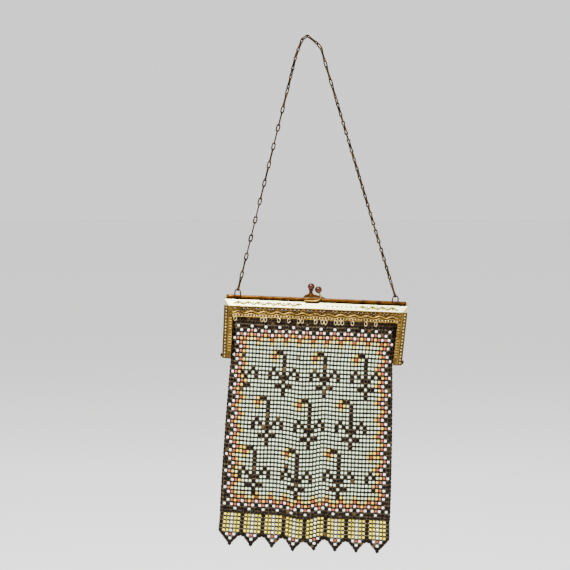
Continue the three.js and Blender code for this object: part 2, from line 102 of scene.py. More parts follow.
@dataclass(frozen=True)
class LeafForm:
    """The sizes of one pressed leaf of the frame, as in the solids."""

    width: float = 150.0
    height: float = 48.5
    depth: float = 5.5
    top_flat: float = 2.2
    band: float = 5.0
    arm_bevel: float = 4.2
    arm: float = 7.2
    strip: float = 2.6
    strip_proud: float = 0.4
    apron: float = 13.8
    foot: float = 4.5
    lean: float = 3.0
    repeats: int = 13
    wave: float = 1.6
    rail_height: float = 3.4
    rail_depth: float = 2.0
    rail_middle_y: float = 1.15
    rail_inset: float = 1.75
    ring_inset: float = 10.7

    @property
    def half(self) -> float:
        """Half of the leaf's width."""
        return self.width / 2

    @property
    def inner_half(self) -> float:
        """Half of the way between the arms."""
        return self.half - self.arm

    def lean_shift(self, x: float, z: float) -> float:
        """How far a point moves inwards with the bent right arm.

        Args:
            x: The point's place across.
            z: The point's height.

        Returns:
            The shift along X.
        """
        share = min(max((x - self.half * 0.75) / (self.half * 0.15), 0.0), 1.0)
        return -self.lean * share * max(-z / self.height, 0.0)

    def place(self, x: float, y: float, z: float) -> Vector:
        """Leans an upright point with the right arm and hangs it.

        Args:
            x: To the right of the frame's middle.
            y: To the rear of the seam.
            z: Up from the frame's top edge.

        Returns:
            The hung point in metres.
        """
        return HUNG.place(x + self.lean_shift(x, z), y, z)


HUNG = Hanging()
LEAF = LeafForm()


class Face(Enum):
    """The two faces of the purse, with the sign of Y that each looks along."""

    FRONT = -1
    REAR = 1


@dataclass(frozen=True)
class Fold:
    """One upright fold: its place and spread are shares of the half width."""

    at: float
    spread: float
    out: float
    sag: float


@dataclass(frozen=True)
class Section:
    """One section of the bag, as shares of its height, flare and depth."""

    drop: float
    flare: float
    depth: float


@dataclass(frozen=True)
class BagForm:
    """The form of the hanging mesh bag, as in the solids."""

    height: float = 161.0
    bottom_width: float = 143.0
    depth: float = 10.6
    clearance: float = 0.3
    fold_depth: float = 1.6
    fold_sag: float = 1.7
    drawn_in: float = 3.4
    drawn_in_at_mouth: float = 0.3
    right_sag: float = 2.2
    fringe_lean: float = 0.012
    fringe_spread: float = 0.045
    samples: int = 160
    sections: tuple[Section, ...] = (
        Section(0, 0, 1),
        Section(0.215, 0, 1.02),
        Section(0.36, 0.3, 1.08),
        Section(0.52, 0.55, 1.06),
        Section(0.68, 0.75, 0.98),
        Section(0.84, 0.92, 0.78),
        Section(0.95, 1, 0.5),
        Section(1, 1, 0.38),
    )
    folds: tuple[Fold, ...] = (
        Fold(-0.74, 0.13, 0.35, 0.1),
        Fold(-0.42, 0.12, -0.4, 0.2),
        Fold(-0.12, 0.1, 1.2, -0.9),
        Fold(0.17, 0.1, -0.9, 1.0),
        Fold(0.48, 0.13, 0.6, 0.1),
        Fold(0.8, 0.12, -0.3, 0.2),
    )

    @property
    def top(self) -> float:
        """The height of the bag's mouth."""
        return -LEAF.apron - self.clearance

    @property
    def bottom(self) -> float:
        """The height of the bag's lower seam."""
        return self.top - self.height

    def place(self, x: float, y: float, z: float) -> Vector:
        """Draws an upright point of the mesh in and down on the right, leans the fringe, and hangs it.

        Args:
            x: To the right of the frame's middle.
            y: To the rear of the seam.
            z: Up from the frame's top edge.

        Returns:
            The hung point in metres.
        """
        across = x / (LEAF.inner_half - self.clearance)
        below = max(self.bottom - z, 0.0)
        lean = below * (self.fringe_spread * across - self.fringe_lean)
        low = min(max((self.top - z) / (LEAF.height - LEAF.apron), 0.0), 1.0)
        drawn = self.drawn_in * (self.drawn_in_at_mouth + (1 - self.drawn_in_at_mouth) * low)
        towards_right = max((across + 1) / 2, 0.0)
        sagged = self.right_sag * towards_right * min(max((self.top - z) / self.height, 0.0), 1.0)
        return HUNG.place(x + lean - drawn * towards_right, y, z - sagged)

    def section(self, drop: float) -> Section:
        """Works out the section at any drop between the listed ones.

        Args:
            drop: The share of the bag's height below its mouth.

        Returns:
            The section there.
        """
        drop = min(max(drop, 0.0), 1.0)
        for upper, lower in zip(self.sections, self.sections[1:]):
            if drop <= lower.drop:
                share = (drop - upper.drop) / (lower.drop - upper.drop)
                return Section(
                    drop,
                    upper.flare + (lower.flare - upper.flare) * share,
                    upper.depth + (lower.depth - upper.depth) * share,
                )
        return self.sections[-1]

    def half_width(self, flare: float) -> float:
        """Half of the bag's width at a section's flare."""
        top = LEAF.inner_half - self.clearance
        return top + (self.bottom_width / 2 - top) * flare

    def fold_sum(self, share: float, value: Callable[[Fold], float]) -> float:
        """Adds up what every fold gives at one place across.

        Args:
            share: The place, as a share of the half width.
            value: What to take from each fold.

        Returns:
            The sum.
        """
        return sum(value(f) * math.exp(-(((share - f.at) / f.spread) ** 2)) for f in self.folds)

    def sag(self, share: float, drop: float) -> float:
        """How far a row is lifted at one place by the folds."""
        return self.fold_sag * self.fold_sum(share, lambda fold: fold.sag) * drop

    def outline(self, drop: float, face: Face) -> list[Vector]:
        """Traces the bag's outside at one height, from its left edge to its right one.

        Args:
            drop: The share of the bag's height below its mouth.
            face: The face to trace.

        Returns:
            Upright points in millimetres.
        """
        section = self.section(drop)
        half_width = self.half_width(section.flare)
        half_depth = self.depth * section.depth / 2
        hang = min(1.0, drop * 4) * section.depth
        points = []
        for i in range(self.samples + 1):
            share = math.sin(math.pi * (i / self.samples - 0.5))
            edge = math.sqrt(max(0.0, 1 - abs(share) ** 5))
            fold = self.fold_depth * hang * edge * self.fold_sum(share, lambda each: each.out)
            depth = -half_depth * edge - fold if face is Face.FRONT else half_depth * edge + 0.6 * fold
            height = self.top - self.height * drop + self.sag(share, drop)
            points.append(Vector((share * half_width, depth, height)))
        return points


BAG = BagForm()


def spaced(points: Sequence[Vector], count: int, end_step: float = 1.0) -> list[Vector]:
    """Places points along a line of points, at even steps but for the two at each end.

    Args:
        points: The line.
        count: How many points to place, with one at each end.
        end_step: The length of the two steps at each end, as a share of the others.

    Returns:
        The points placed.
    """
    lengths = [0.0]
    for a, b in zip(points, points[1:]):
        lengths.append(lengths[-1] + (b - a).length)
    placed = []
    at = 0
    total = count - 5 + 4 * end_step
    for i in range(count):
        inner = min(max(i - 2, 0), count - 5)
        target = lengths[-1] * (inner + (i - inner) * end_step) / total
        while at < len(points) - 2 and lengths[at + 1] < target:
            at += 1
        share = (target - lengths[at]) / max(lengths[at + 1] - lengths[at], 1e-9)
        placed.append(points[at].lerp(points[at + 1], min(share, 1.0)))
    return placed


def rounded(points: Sequence[Vector], closed: bool, times: int = 2) -> list[Vector]:
    """Rounds a line's corners by cutting each one off, a few times over.

    Args:
        points: The corners.
        closed: Whether the line runs back to its start.
        times: How many times to cut.

    Returns:
        The rounded line.
    """
    line = list(points)
    for _ in range(times):
        pairs = list(zip(line, line[1:] + line[:1])) if closed else list(zip(line, line[1:]))
        cut = [p for a, b in pairs for p in (a.lerp(b, 0.25), a.lerp(b, 0.75))]
        line = cut if closed else [line[0], *cut[1:-1], line[-1]]
    return line


# Node trees: one wrapper for sockets, one for trees, and the trees that grow pieces


class Net:
    """A node tree that is built one node at a time."""

    def __init__(self, tree: bpy.types.NodeTree) -> None:
        """Takes the tree to build in."""
        self.tree = tree

    def feed(self, socket: bpy.types.NodeSocket, value: object) -> None:
        """Gives a socket a link or a value.

        Args:
            socket: The input.
            value: An output socket, a wrapped one, or a plain value.
        """
        if isinstance(value, Maths):
            value = value.socket
        if isinstance(value, bpy.types.NodeSocket):
            self.tree.links.new(value, socket)
        else:
            socket.default_value = value

    def node(
        self,
        kind: str,
        settings: Mapping[str, object] | None = None,
        inputs: Mapping[str | int, object] | None = None,
    ) -> bpy.types.Node:
        """Adds one node, its settings first and then its inputs.

        Args:
            kind: The node's type.
            settings: Its own settings.
            inputs: Values or links, by socket name or number.

        Returns:
            The node.
        """
        made = self.tree.nodes.new(kind)
        for key, value in (settings or {}).items():
            setattr(made, key, value)
        for key, value in (inputs or {}).items():
            self.feed(made.inputs[key], value)
        return made


class Maths:
    """A number socket that can be used in plain arithmetic."""

    def __init__(self, net: Net, socket: bpy.types.NodeSocket) -> None:
        """Wraps one output socket of a net."""
        self.net = net
        self.socket = socket

    def apply(self, operation: str, *values: object, first: bool = True) -> Maths:
        """Adds one Math node.

        Args:
            operation: The node's operation.
            values: The other numbers or sockets.
            first: Whether this socket comes first.

        Returns:
            The result.
        """
        order = [self, *values] if first else [*values, self]
        made = self.net.node("ShaderNodeMath", {"operation": operation}, dict(enumerate(order)))
        return Maths(self.net, made.outputs[0])

    def __add__(self, other: object) -> Maths:
        """Adds."""
        return self.apply("ADD", other)

    def __radd__(self, other: object) -> Maths:
        """Adds."""
        return self.apply("ADD", other)

    def __sub__(self, other: object) -> Maths:
        """Takes away."""
        return self.apply("SUBTRACT", other)

    def __rsub__(self, other: object) -> Maths:
        """Is taken away."""
        return self.apply("SUBTRACT", other, first=False)

    def __mul__(self, other: object) -> Maths:
        """Multiplies."""
        return self.apply("MULTIPLY", other)

    def __rmul__(self, other: object) -> Maths:
        """Multiplies."""
        return self.apply("MULTIPLY", other)

    def __truediv__(self, other: object) -> Maths:
        """Divides."""
        return self.apply("DIVIDE", other)

    def ramp(self, low: float, high: float, start: float = 0.0, end: float = 1.0) -> Maths:
        """Maps a stretch of values to another, with smooth ends.

        Args:
            low: Where the stretch starts.
            high: Where it ends.
            start: The value at its start.
            end: The value at its end.

        Returns:
            The mapped value.
        """
        settings = {"interpolation_type": "SMOOTHSTEP"}
        inputs = {"Value": self, "From Min": low, "From Max": high, "To Min": start, "To Max": end}
        return Maths(self.net, self.net.node("ShaderNodeMapRange", settings, inputs).outputs["Result"])


class Paint(Net):
    """A material that is built from expressions."""

    def __init__(self, name: str) -> None:
        """Makes an empty material with its surface shader.

        Args:
            name: The material's name.
        """
        self.material = bpy.data.materials.new(name)
        self.material.use_nodes = True
        super().__init__(self.material.node_tree)
        self.surface = self.tree.nodes["Principled BSDF"]
        self.place = self.node("ShaderNodeTexCoord").outputs["Object"]

    def noise(self, scale: float, detail: float = 3.0) -> Maths:
        """Gives soft noise over the object.

        Args:
            scale: How fine it is, in cells per metre.
            detail: How many finer layers it has.

        Returns:
            A value from 0 to 1.
        """
        made = self.node("ShaderNodeTexNoise", {}, {"Vector": self.place, "Scale": scale, "Detail": detail})
        return Maths(self, made.outputs["Fac"])

    def along(self, way: Vector) -> Maths:
        """Gives how far a point lies from the frame's top middle, in millimetres.

        Args:
            way: The upright direction to measure along.

        Returns:
            The distance.
        """
        hung = HUNG.turn(way)
        apart = self.node("ShaderNodeVectorMath", {"operation": "DOT_PRODUCT"}, {0: self.place, 1: hung})
        return (Maths(self, apart.outputs["Value"]) - HUNG.place(0, 0, 0).dot(hung)) * 1000

    def height(self) -> Maths:
        """Gives the height over the frame's top edge, in millimetres."""
        return self.along(Vector((0, 0, 1)))

    def across(self) -> Maths:
        """Gives the distance to either side of the frame's middle, in millimetres."""
        return self.along(Vector((1, 0, 0))).apply("ABSOLUTE")

    def depth(self) -> Maths:
        """Gives the distance from the seam, in millimetres."""
        return self.along(Vector((0, 1, 0))).apply("ABSOLUTE")

    def attribute(self, name: str) -> bpy.types.Node:
        """Reads an attribute of the mesh."""
        return self.node("ShaderNodeAttribute", {"attribute_name": name})

    def mix(self, share: object, low: object, high: object, blend: str = "MIX") -> bpy.types.NodeSocket:
        """Mixes two colours.

        Args:
            share: How much of the second colour there is.
            low: The first colour.
            high: The second colour.
            blend: The way of mixing.

        Returns:
            The colour.
        """
        made = self.node("ShaderNodeMix", {"data_type": "RGBA", "blend_type": blend})
        for socket, value in zip((made.inputs[0], made.inputs[6], made.inputs[7]), (share, low, high)):
            self.feed(socket, value)
        return made.outputs[2]

    def bump(self, height: Maths, strength: float, distance: float) -> bpy.types.NodeSocket:
        """Turns a height into a normal.

        Args:
            height: The height.
            strength: How strong it shows.
            distance: How high it stands, in metres.

        Returns:
            The normal.
        """
        inputs = {"Height": height, "Strength": strength, "Distance": distance}
        return self.node("ShaderNodeBump", {}, inputs).outputs[0]

    def finish(self, **values: object) -> bpy.types.Material:
        """Feeds the surface shader and gives the material.

        Args:
            values: Values or links, with underscores for the spaces in the socket names.

        Returns:
            The material.
        """
        for key, value in values.items():
            self.feed(self.surface.inputs[key.replace("_", " ")], value)
        return self.material


class Growth(Net):
    """A geometry node tree with named inputs, which grows a piece on a base mesh."""

    def __init__(self, name: str, inputs: Mapping[str, str]) -> None:
        """Makes the tree's interface.

        Args:
            name: The tree's name.
            inputs: The kind of socket of each named input.
        """
        tree = bpy.data.node_groups.new(name, "GeometryNodeTree")
        for label, kind in {"Base": "Geometry", **inputs, "Finish": "Material"}.items():
            tree.interface.new_socket(label, in_out="INPUT", socket_type=f"NodeSocket{kind}")
        tree.interface.new_socket("Grown", in_out="OUTPUT", socket_type="NodeSocketGeometry")
        super().__init__(tree)
        self.given = self.node("NodeGroupInput").outputs
        self.result = self.node("NodeGroupOutput")

    def named(self, name: str, kind: str) -> bpy.types.NodeSocket:
        """Reads an attribute of the base.

        Args:
            name: The attribute's name.
            kind: Its type.

        Returns:
            Its value.
        """
        made = self.node("GeometryNodeInputNamedAttribute", {"data_type": kind}, {"Name": name})
        return next(s for s in made.outputs if s.enabled and s.name == "Attribute")

    def close(self, grown: bpy.types.NodeSocket) -> None:
        """Realizes what has grown and gives it its material.

        Args:
            grown: The grown geometry.
        """
        real = self.node("GeometryNodeRealizeInstances", {}, {0: grown}).outputs[0]
        inputs = {"Geometry": real, "Material": self.given["Finish"]}
        self.feed(self.result.inputs[0], self.node("GeometryNodeSetMaterial", {}, inputs).outputs[0])

    def grow(self, name: str, base: bpy.types.Object, **values: object) -> bpy.types.Object:
        """Runs the tree on a base and leaves a plain mesh.

        Args:
            name: The piece's name.
            base: The base object, which is used up.
            values: The inputs, with underscores for the spaces in their names.

        Returns:
            The piece.
        """
        modifier = base.modifiers.new(self.tree.name, "NODES")
        modifier.node_group = self.tree
        for item in self.tree.interface.items_tree:
            key = item.name.replace(" ", "_")
            if item.in_out == "INPUT" and key in values:
                modifier[item.identifier] = values[key]
        graph = bpy.context.evaluated_depsgraph_get()
        evaluated = base.evaluated_get(graph)
        mesh = bpy.data.meshes.new_from_object(evaluated, preserve_all_data_layers=True, depsgraph=graph)
        base.modifiers.remove(modifier)
        bpy.data.objects.remove(base)
        mesh.name = name
        return shown(name, mesh)


def shown(name: str, mesh: bpy.types.Mesh) -> bpy.types.Object:
    """Puts a mesh in the scene as an object of its own.

    Args:
        name: The object's name.
        mesh: Its mesh.

    Returns:
        The object.
    """
    made = bpy.data.objects.new(name, mesh)
    bpy.context.scene.collection.objects.link(made)
    return made


def mesh_of(
    name: str,
    points: Sequence[Vector],
    edges: Sequence[tuple[int, int]] = (),
    faces: Sequence[Sequence[int]] = (),
) -> bpy.types.Object:
    """Makes a mesh object from plain lists.

    Args:
        name: The object's name.
        points: The corners, in metres.
        edges: Pairs of corners.
        faces: Corners of each face.

    Returns:
        The object.
    """
    mesh = bpy.data.meshes.new(name)
    mesh.from_pydata([tuple(p) for p in points], edges, faces)
    mesh.update()
    return shown(name, mesh)


def lines_of(name: str, lines: Iterable[tuple[Sequence[Vector], bool]]) -> bpy.types.Object:
    """Makes a mesh object of edges alone.

    Args:
        name: The object's name.
        lines: The points of each line, in metres, and whether it runs back to its start.

    Returns:
        The object.
    """
    points: list[Vector] = []
    edges: list[tuple[int, int]] = []
    for line, closed in lines:
        first = len(points)
        points += line
        edges += [(first + i, first + i + 1) for i in range(len(line) - 1)]
        if closed:
            edges.append((len(points) - 1, first))
    return mesh_of(name, points, edges)


class Wires:
    """Round wires along lines of points, each with a thickness of its own."""

    def __init__(self) -> None:
        """Builds the node tree."""
        tree = Growth("wires", {"Wire radius": "Float", "Wire sides": "Int"})
        line = tree.node("GeometryNodeMeshToCurve", {}, {"Mesh": tree.given["Base"]}).outputs[0]
        inputs = {"Resolution": tree.given["Wire sides"], "Radius": tree.given["Wire radius"]}
        section = tree.node("GeometryNodeCurvePrimitiveCircle", {}, inputs).outputs[0]
        inputs = {"Curve": line, "Profile Curve": section, "Scale": tree.named("thick", "FLOAT")}
        inputs["Fill Caps"] = True
        wire = tree.node("GeometryNodeCurveToMesh", {}, inputs).outputs[0]
        tree.close(tree.node("GeometryNodeSetShadeSmooth", {}, {"Geometry": wire}).outputs[0])
        self.tree = tree
        self.lines: list[tuple[list[Vector], bool, float]] = []

    def add(self, line: Sequence[Vector], closed: bool = False, thick: float = 1.0) -> None:
        """Adds one line for the next piece.

        Args:
            line: Its points, in metres.
            closed: Whether it runs back to its start.
            thick: Its thickness, as a share of the piece's wire.
        """
        self.lines.append((list(line), closed, thick))

    def grow(self, name: str, radius: float, sides: int, finish: bpy.types.Material) -> bpy.types.Object:
        """Makes one piece of every line added since the last one.

        Args:
            name: The piece's name.
            radius: The wire's radius, in millimetres.
            sides: How many sides the wire has.
            finish: Its material.

        Returns:
            The piece.
        """
        thickness = [thick for line, _, thick in self.lines for _ in line]
        base = lines_of(name + "_lines", [(line, closed) for line, closed, _ in self.lines])
        self.lines = []
        base.data.attributes.new("thick", "FLOAT", "POINT").data.foreach_set("value", thickness)
        return self.tree.grow(name, base, Wire_radius=radius * MM, Wire_sides=sides, Finish=finish)


@dataclass
class Copy:
    """One copy of a repeated shape: its place, turn, stretch and colour."""

    at: Vector
    axes: tuple[Vector, Vector, Vector]
    stretch: tuple[float, float, float] = (1, 1, 1)
    colour: tuple[float, float, float] = (1, 1, 1)
    worn: float = 0.0


class Copies:
    """A tree that sets a shape on every point of a base, turned, stretched and coloured."""

    def __init__(self) -> None:
        """Builds the node tree."""
        tree = Growth("copies", {"Shape": "Object"})
        shape = tree.node("GeometryNodeObjectInfo", {}, {0: tree.given["Shape"]}).outputs["Geometry"]
        angles = tree.named("turn", "FLOAT_VECTOR")
        turn = tree.node("FunctionNodeEulerToRotation", {}, {0: angles}).outputs[0]
        inputs = {
            "Points": tree.given["Base"],
            "Instance": shape,
            "Rotation": turn,
            "Scale": tree.named("stretch", "FLOAT_VECTOR"),
        }
        tree.close(tree.node("GeometryNodeInstanceOnPoints", {}, inputs).outputs[0])
        self.tree = tree

    def grow(
        self, name: str, shape: bpy.types.Object, copies: Sequence[Copy], finish: bpy.types.Material
    ) -> bpy.types.Object:
        """Makes one piece of many copies.

        Args:
            name: The piece's name.
            shape: The repeated shape, which is kept.
            copies: The copies.
            finish: Their material.

        Returns:
            The piece.
        """
        base = mesh_of(name + "_points", [c.at for c in copies])
        turns = [a for c in copies for a in Matrix(c.axes).transposed().to_euler()]
        layers = base.data.attributes
        layers.new("turn", "FLOAT_VECTOR", "POINT").data.foreach_set("vector", turns)
        stretches = [v for c in copies for v in c.stretch]
        layers.new("stretch", "FLOAT_VECTOR", "POINT").data.foreach_set("vector", stretches)
        colours = [v for c in copies for v in (*c.colour, 1.0)]
        layers.new("enamel", "FLOAT_COLOR", "POINT").data.foreach_set("color", colours)
        layers.new("worn", "FLOAT", "POINT").data.foreach_set("value", [c.worn for c in copies])
        return self.tree.grow(name, base, Shape=shape, Finish=finish)


class Beads:
    """A tree that strings beads at an even pitch along lines."""

    def __init__(self) -> None:
        """Builds the node tree."""
        kinds = {"Pitch": "Float", "Bead radius": "Float", "Sides": "Int"}
        tree = Growth("beads", kinds)
        line = tree.node("GeometryNodeMeshToCurve", {}, {"Mesh": tree.given["Base"]}).outputs[0]
        inputs = {"Curve": line, "Length": tree.given["Pitch"]}
        stepped = tree.node("GeometryNodeResampleCurve", {"mode": "LENGTH"}, inputs).outputs[0]
        sides = tree.given["Sides"]
        inputs = {"Segments": sides, "Rings": sides, "Radius": tree.given["Bead radius"]}
        bead = tree.node("GeometryNodeMeshUVSphere", {}, inputs).outputs[0]
        bead = tree.node("GeometryNodeSetShadeSmooth", {}, {"Geometry": bead}).outputs[0]
        inputs = {"Points": stepped, "Instance": bead}
        tree.close(tree.node("GeometryNodeInstanceOnPoints", {}, inputs).outputs[0])
        self.tree = tree

    def grow(
        self,
        name: str,
        lines: Sequence[Sequence[Vector]],
        pitch: float,
        radius: float,
        finish: bpy.types.Material,
    ) -> bpy.types.Object:
        """Makes one piece of beads on every line.

        Args:
            name: The piece's name.
            lines: The lines, in metres.
            pitch: The way from bead to bead, in millimetres.
            radius: The beads' radius, in millimetres.
            finish: Their material.

        Returns:
            The piece.
        """
        base = lines_of(name + "_lines", [(line, False) for line in lines])
        sizes = {"Pitch": pitch * MM, "Bead_radius": radius * MM, "Sides": 8}
        return self.tree.grow(name, base, Finish=finish, **sizes)


def ride(piece: bpy.types.Object, replaces: Sequence[str] = ()) -> bpy.types.Object:
    """Declares a finished piece and reports it.

    Args:
        piece: The piece.
        replaces: The solids that it stands for.

    Returns:
        The piece.
    """
    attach(piece, BODY)
    if replaces:
        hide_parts(*replaces)
    piece.data.calc_loop_triangles()
    LOG.info("%s: %d triangles", piece.name, len(piece.data.loop_triangles))
    return piece


# Finishes


def linear(red: int, green: int, blue: int) -> tuple[float, float, float, float]:
    """Gives the linear colour of a colour on the usual scale of 0 to 255.

    Args:
        red: Its red.
        green: Its green.
        blue: Its blue.

    Returns:
        The linear colour with full cover.
    """

    def channel(value: int) -> float:
        """Gives one linear channel."""
        share = value / 255
        return share / 12.92 if share <= 0.04045 else ((share + 0.055) / 1.055) ** 2.4

    return (channel(red), channel(green), channel(blue), 1.0)


@dataclass(frozen=True)
class Gilding:
    """Worn gilt brass: bright, and brown in patches where it is tarnished."""

    name: str
    bright: tuple[float, float, float, float]
    dark: tuple[float, float, float, float]
    roughness: float = 0.3
    tarnish: float = 0.5
    grain: float = 900.0

    def paint(self) -> bpy.types.Material:
        """Builds the material."""
        paint = Paint(self.name)
        patches = paint.noise(140, 4).ramp(0.42, 0.72)
        fine = paint.noise(self.grain, 3)
        share = patches * self.tarnish + fine.ramp(0.5, 0.8) * (self.tarnish * 0.5)
        colour = paint.mix(share.apply("MINIMUM", 1.0), self.bright, self.dark)
        roughness = self.roughness + patches * 0.18 + fine * 0.08
        return paint.finish(
            Base_Color=colour,
            Metallic=1.0,
            Roughness=roughness,
            Normal=paint.bump(fine, 0.35, 0.00006),
        )


@dataclass(frozen=True)
class LeafGilding:
    """The leaves' own metal: pale on the sloped band, partly its metal and partly a painted reflection of the
    light on its up-facing slope, brown on the arms, with painted shade behind the apron's relief and a
    painted shadow on the top flat under the rail.
    """

    # band: pale metal, lightened further as a painted reflection of the light on the band's up-facing slope
    band: tuple[float, float, float, float] = linear(226, 227, 170)
    arm: tuple[float, float, float, float] = linear(94, 74, 34)
    apron: tuple[float, float, float, float] = linear(68, 50, 29)
    # tarnish_and_shade: dark brown for the tarnish patches, for the painted shade inside the leaf and for the
    # painted shadow under the rail
    tarnish_and_shade: tuple[float, float, float, float] = linear(27, 19, 11)
    rail: tuple[float, float, float, float] = linear(160, 98, 44)

    def paint(self) -> bpy.types.Material:
        """Builds the material."""
        paint = Paint("leaf_gilding")
        height, across, depth = paint.height(), paint.across(), paint.depth()
        fine = paint.noise(1100, 4)
        patches = paint.noise(170, 4).ramp(0.4, 0.75)
        on_band = height.ramp(-LEAF.band - 0.2, -LEAF.band + 0.1)
        # Painted shadow: the top flat under the rail, up to the rail's foot, is made dark.
        shadow_under_rail = height.ramp(-0.12, -0.04)
        on_rail = height.ramp(0.1, 0.2)
        on_arm = across.ramp(LEAF.inner_half - 4, LEAF.inner_half - 3)
        # inside: painted shade on the leaf's inner faces near the seam, behind the apron's relief, away from
        # the band
        inside = depth.ramp(1.2, 2.6, 1.0, 0.0) * (1 - on_band)
        body = paint.mix(on_arm, self.apron, self.arm)
        # Tarnish patches, and the painted shade inside the leaf.
        body = paint.mix((patches * 0.7 + inside).apply("MINIMUM", 1.0), body, self.tarnish_and_shade)
        # The sloped band: pale metal with its painted reflection.
        body = paint.mix(on_band, body, self.band)
        # The painted shadow line under the rail.
        body = paint.mix(shadow_under_rail, body, self.tarnish_and_shade)
        body = paint.mix(on_rail, body, self.rail)
        roughness = 0.34 + patches * 0.2 + fine * 0.1 - on_band * 0.1
        return paint.finish(
            Base_Color=body,
            Metallic=1.0,
            Roughness=roughness,
            Normal=paint.bump(fine, 0.4, 0.00008),
        )


@dataclass(frozen=True)
class Enamelling:
    """Glossy enamel on domed plates, with painted shade darkening each plate's rim, its flat back and the
    outer part of its dome, and worn to the metal on some.
    """

    # rim_shade_colour: near-black painted shade on the plates' rims and flat backs, for the shade in the gaps
    # between them
    rim_shade_colour: tuple[float, float, float, float] = linear(15, 11, 6)
    black_rim: tuple[float, float, float, float] = linear(96, 80, 58)
    bare: tuple[float, float, float, float] = linear(84, 64, 36)
    # dust_and_shade: dark green-grey mixed into the enamel for dust patches and for painted shade towards
    # each dome's edge
    dust_and_shade: tuple[float, float, float, float] = linear(84, 92, 62)

    def paint(self) -> bpy.types.Material:
        """Builds the material."""
        paint = Paint("plate_enamel")
        enamel = paint.attribute("enamel").outputs
        black = Maths(paint, enamel["Fac"]).ramp(0.012, 0.05, 1.0, 0.0)
        crown = Maths(paint, paint.attribute("crown").outputs["Fac"])
        worn = Maths(paint, paint.attribute("worn").outputs["Fac"])
        fine = paint.noise(1500, 2)
        patch = paint.noise(420, 3)
        # Painted shade: each plate is dark from its rim to near its shoulder.
        rim_shade = 1 - crown.ramp(0.4, 0.68)
        chipped = (worn + fine * 0.5 - 0.35).ramp(0.35, 0.6) * crown.ramp(0.2, 0.7)
        # bare: the metal, worn through where chipped, and the painted rim shade at the rims.
        bare = (rim_shade + chipped).apply("MINIMUM", 1.0)
        shone = patch.ramp(0.36, 0.56) * crown.ramp(0.1, 0.4, 1.0, 0.0) * black
        # At the rims the painted rim shade, or bronze between black plates; where chipped the bare metal.
        metal = paint.mix(chipped, paint.mix(shone, self.rim_shade_colour, self.black_rim), self.bare)
        dull = paint.mix(0.5, enamel["Color"], self.dust_and_shade)
        # Painted shade: the enamel darkens from the crown towards the shoulder, so each dome's top reads
        # lighter.
        dome_shade = crown.ramp(0.62, 0.92, 0.7, 0.0)
        # dulled: dust in patches plus the painted dome shade, not on black plates.
        dulled = paint.mix((patch.ramp(0.35, 0.8) * 0.25 + dome_shade) * (1 - black), enamel["Color"], dull)
        return paint.finish(
            Base_Color=paint.mix(bare, dulled, metal),
            Metallic=(bare + black).apply("MINIMUM", 1.0) * 0.9,
            Roughness=0.24 + bare * 0.3 + fine * 0.08,
            Normal=paint.bump(patch, 0.12, 0.0001),
        )


GILT = Gilding("gilt_trim", linear(158, 126, 56), linear(46, 32, 13), 0.26, 0.8)
PALE = Gilding("pale_gilt", linear(222, 200, 142), linear(120, 92, 48), 0.24, 0.5)
SCROLL = Gilding("scroll_gilt", linear(126, 106, 24), linear(84, 70, 22), 0.4, 0.4)
BRONZE = Gilding("dark_bronze", linear(48, 36, 20), linear(16, 11, 6), 0.4, 0.6, 1500.0)
COPPER = Gilding("copper_brown", linear(94, 58, 20), linear(32, 14, 5), 0.24, 1.0, 500.0)
KNOB = Gilding("knob_brown", linear(82, 50, 38), linear(34, 20, 16), 0.22, 0.5, 700.0)
CHAIN = Gilding("chain_wire", linear(66, 49, 26), linear(13, 9, 5), 0.38, 1.0, 1500.0)
LINKS = Gilding("mesh_links", linear(74, 58, 32), linear(20, 14, 8), 0.4, 0.7, 1500.0)
FINISHES = (GILT, PALE, SCROLL, BRONZE, COPPER, KNOB, CHAIN)


# The mesh of domed plates


class Enamel(Enum):
    """The enamels of the plates, by the letter that charts them."""

    FIELD = "."
    BLACK = "K"
    WHITE = "W"
    RED = "R"
    YELLOW = "Y"
    TAB = "T"


@dataclass(frozen=True)
class EnamelLook:
    """An enamel's colour, how much it varies from plate to plate, and how often it is worn away."""

    colour: tuple[float, float, float, float]
    vary: float
    wear: float


LOOKS = {
    Enamel.FIELD: EnamelLook(linear(214, 230, 194), 0.2, 0.002),
    Enamel.BLACK: EnamelLook(linear(22, 16, 11), 0.55, 0.06),
    Enamel.WHITE: EnamelLook(linear(250, 252, 240), 0.05, 0.002),
    Enamel.RED: EnamelLook(linear(152, 42, 2), 0.18, 0.006),
    Enamel.YELLOW: EnamelLook(linear(240, 198, 24), 0.08, 0.004),
    Enamel.TAB: EnamelLook(linear(238, 218, 42), 0.1, 0.004),
}

SPRIG = (
    ".YKK.....",
    "YRY.K....",
    ".Y..K....",
    "....K....",
    "....K....",
    ".K..K..K.",
    "K.K.K.K.K",
    "K..KKK..K",
    "....K....",
    "..KK.KK..",
    "....K....",
    "....K....",
)

SHORT_SPRIG_SKIPS = 4
TAB_POINT = ("KWRWK", ".KWK.", "..K..")
TAB_COLUMNS = 6


@dataclass(frozen=True)
class SprigBand:
    """One row of sprigs: where it starts, and the columns of its stems."""

    first_row: int
    stems: tuple[int, ...]
    short: bool = False


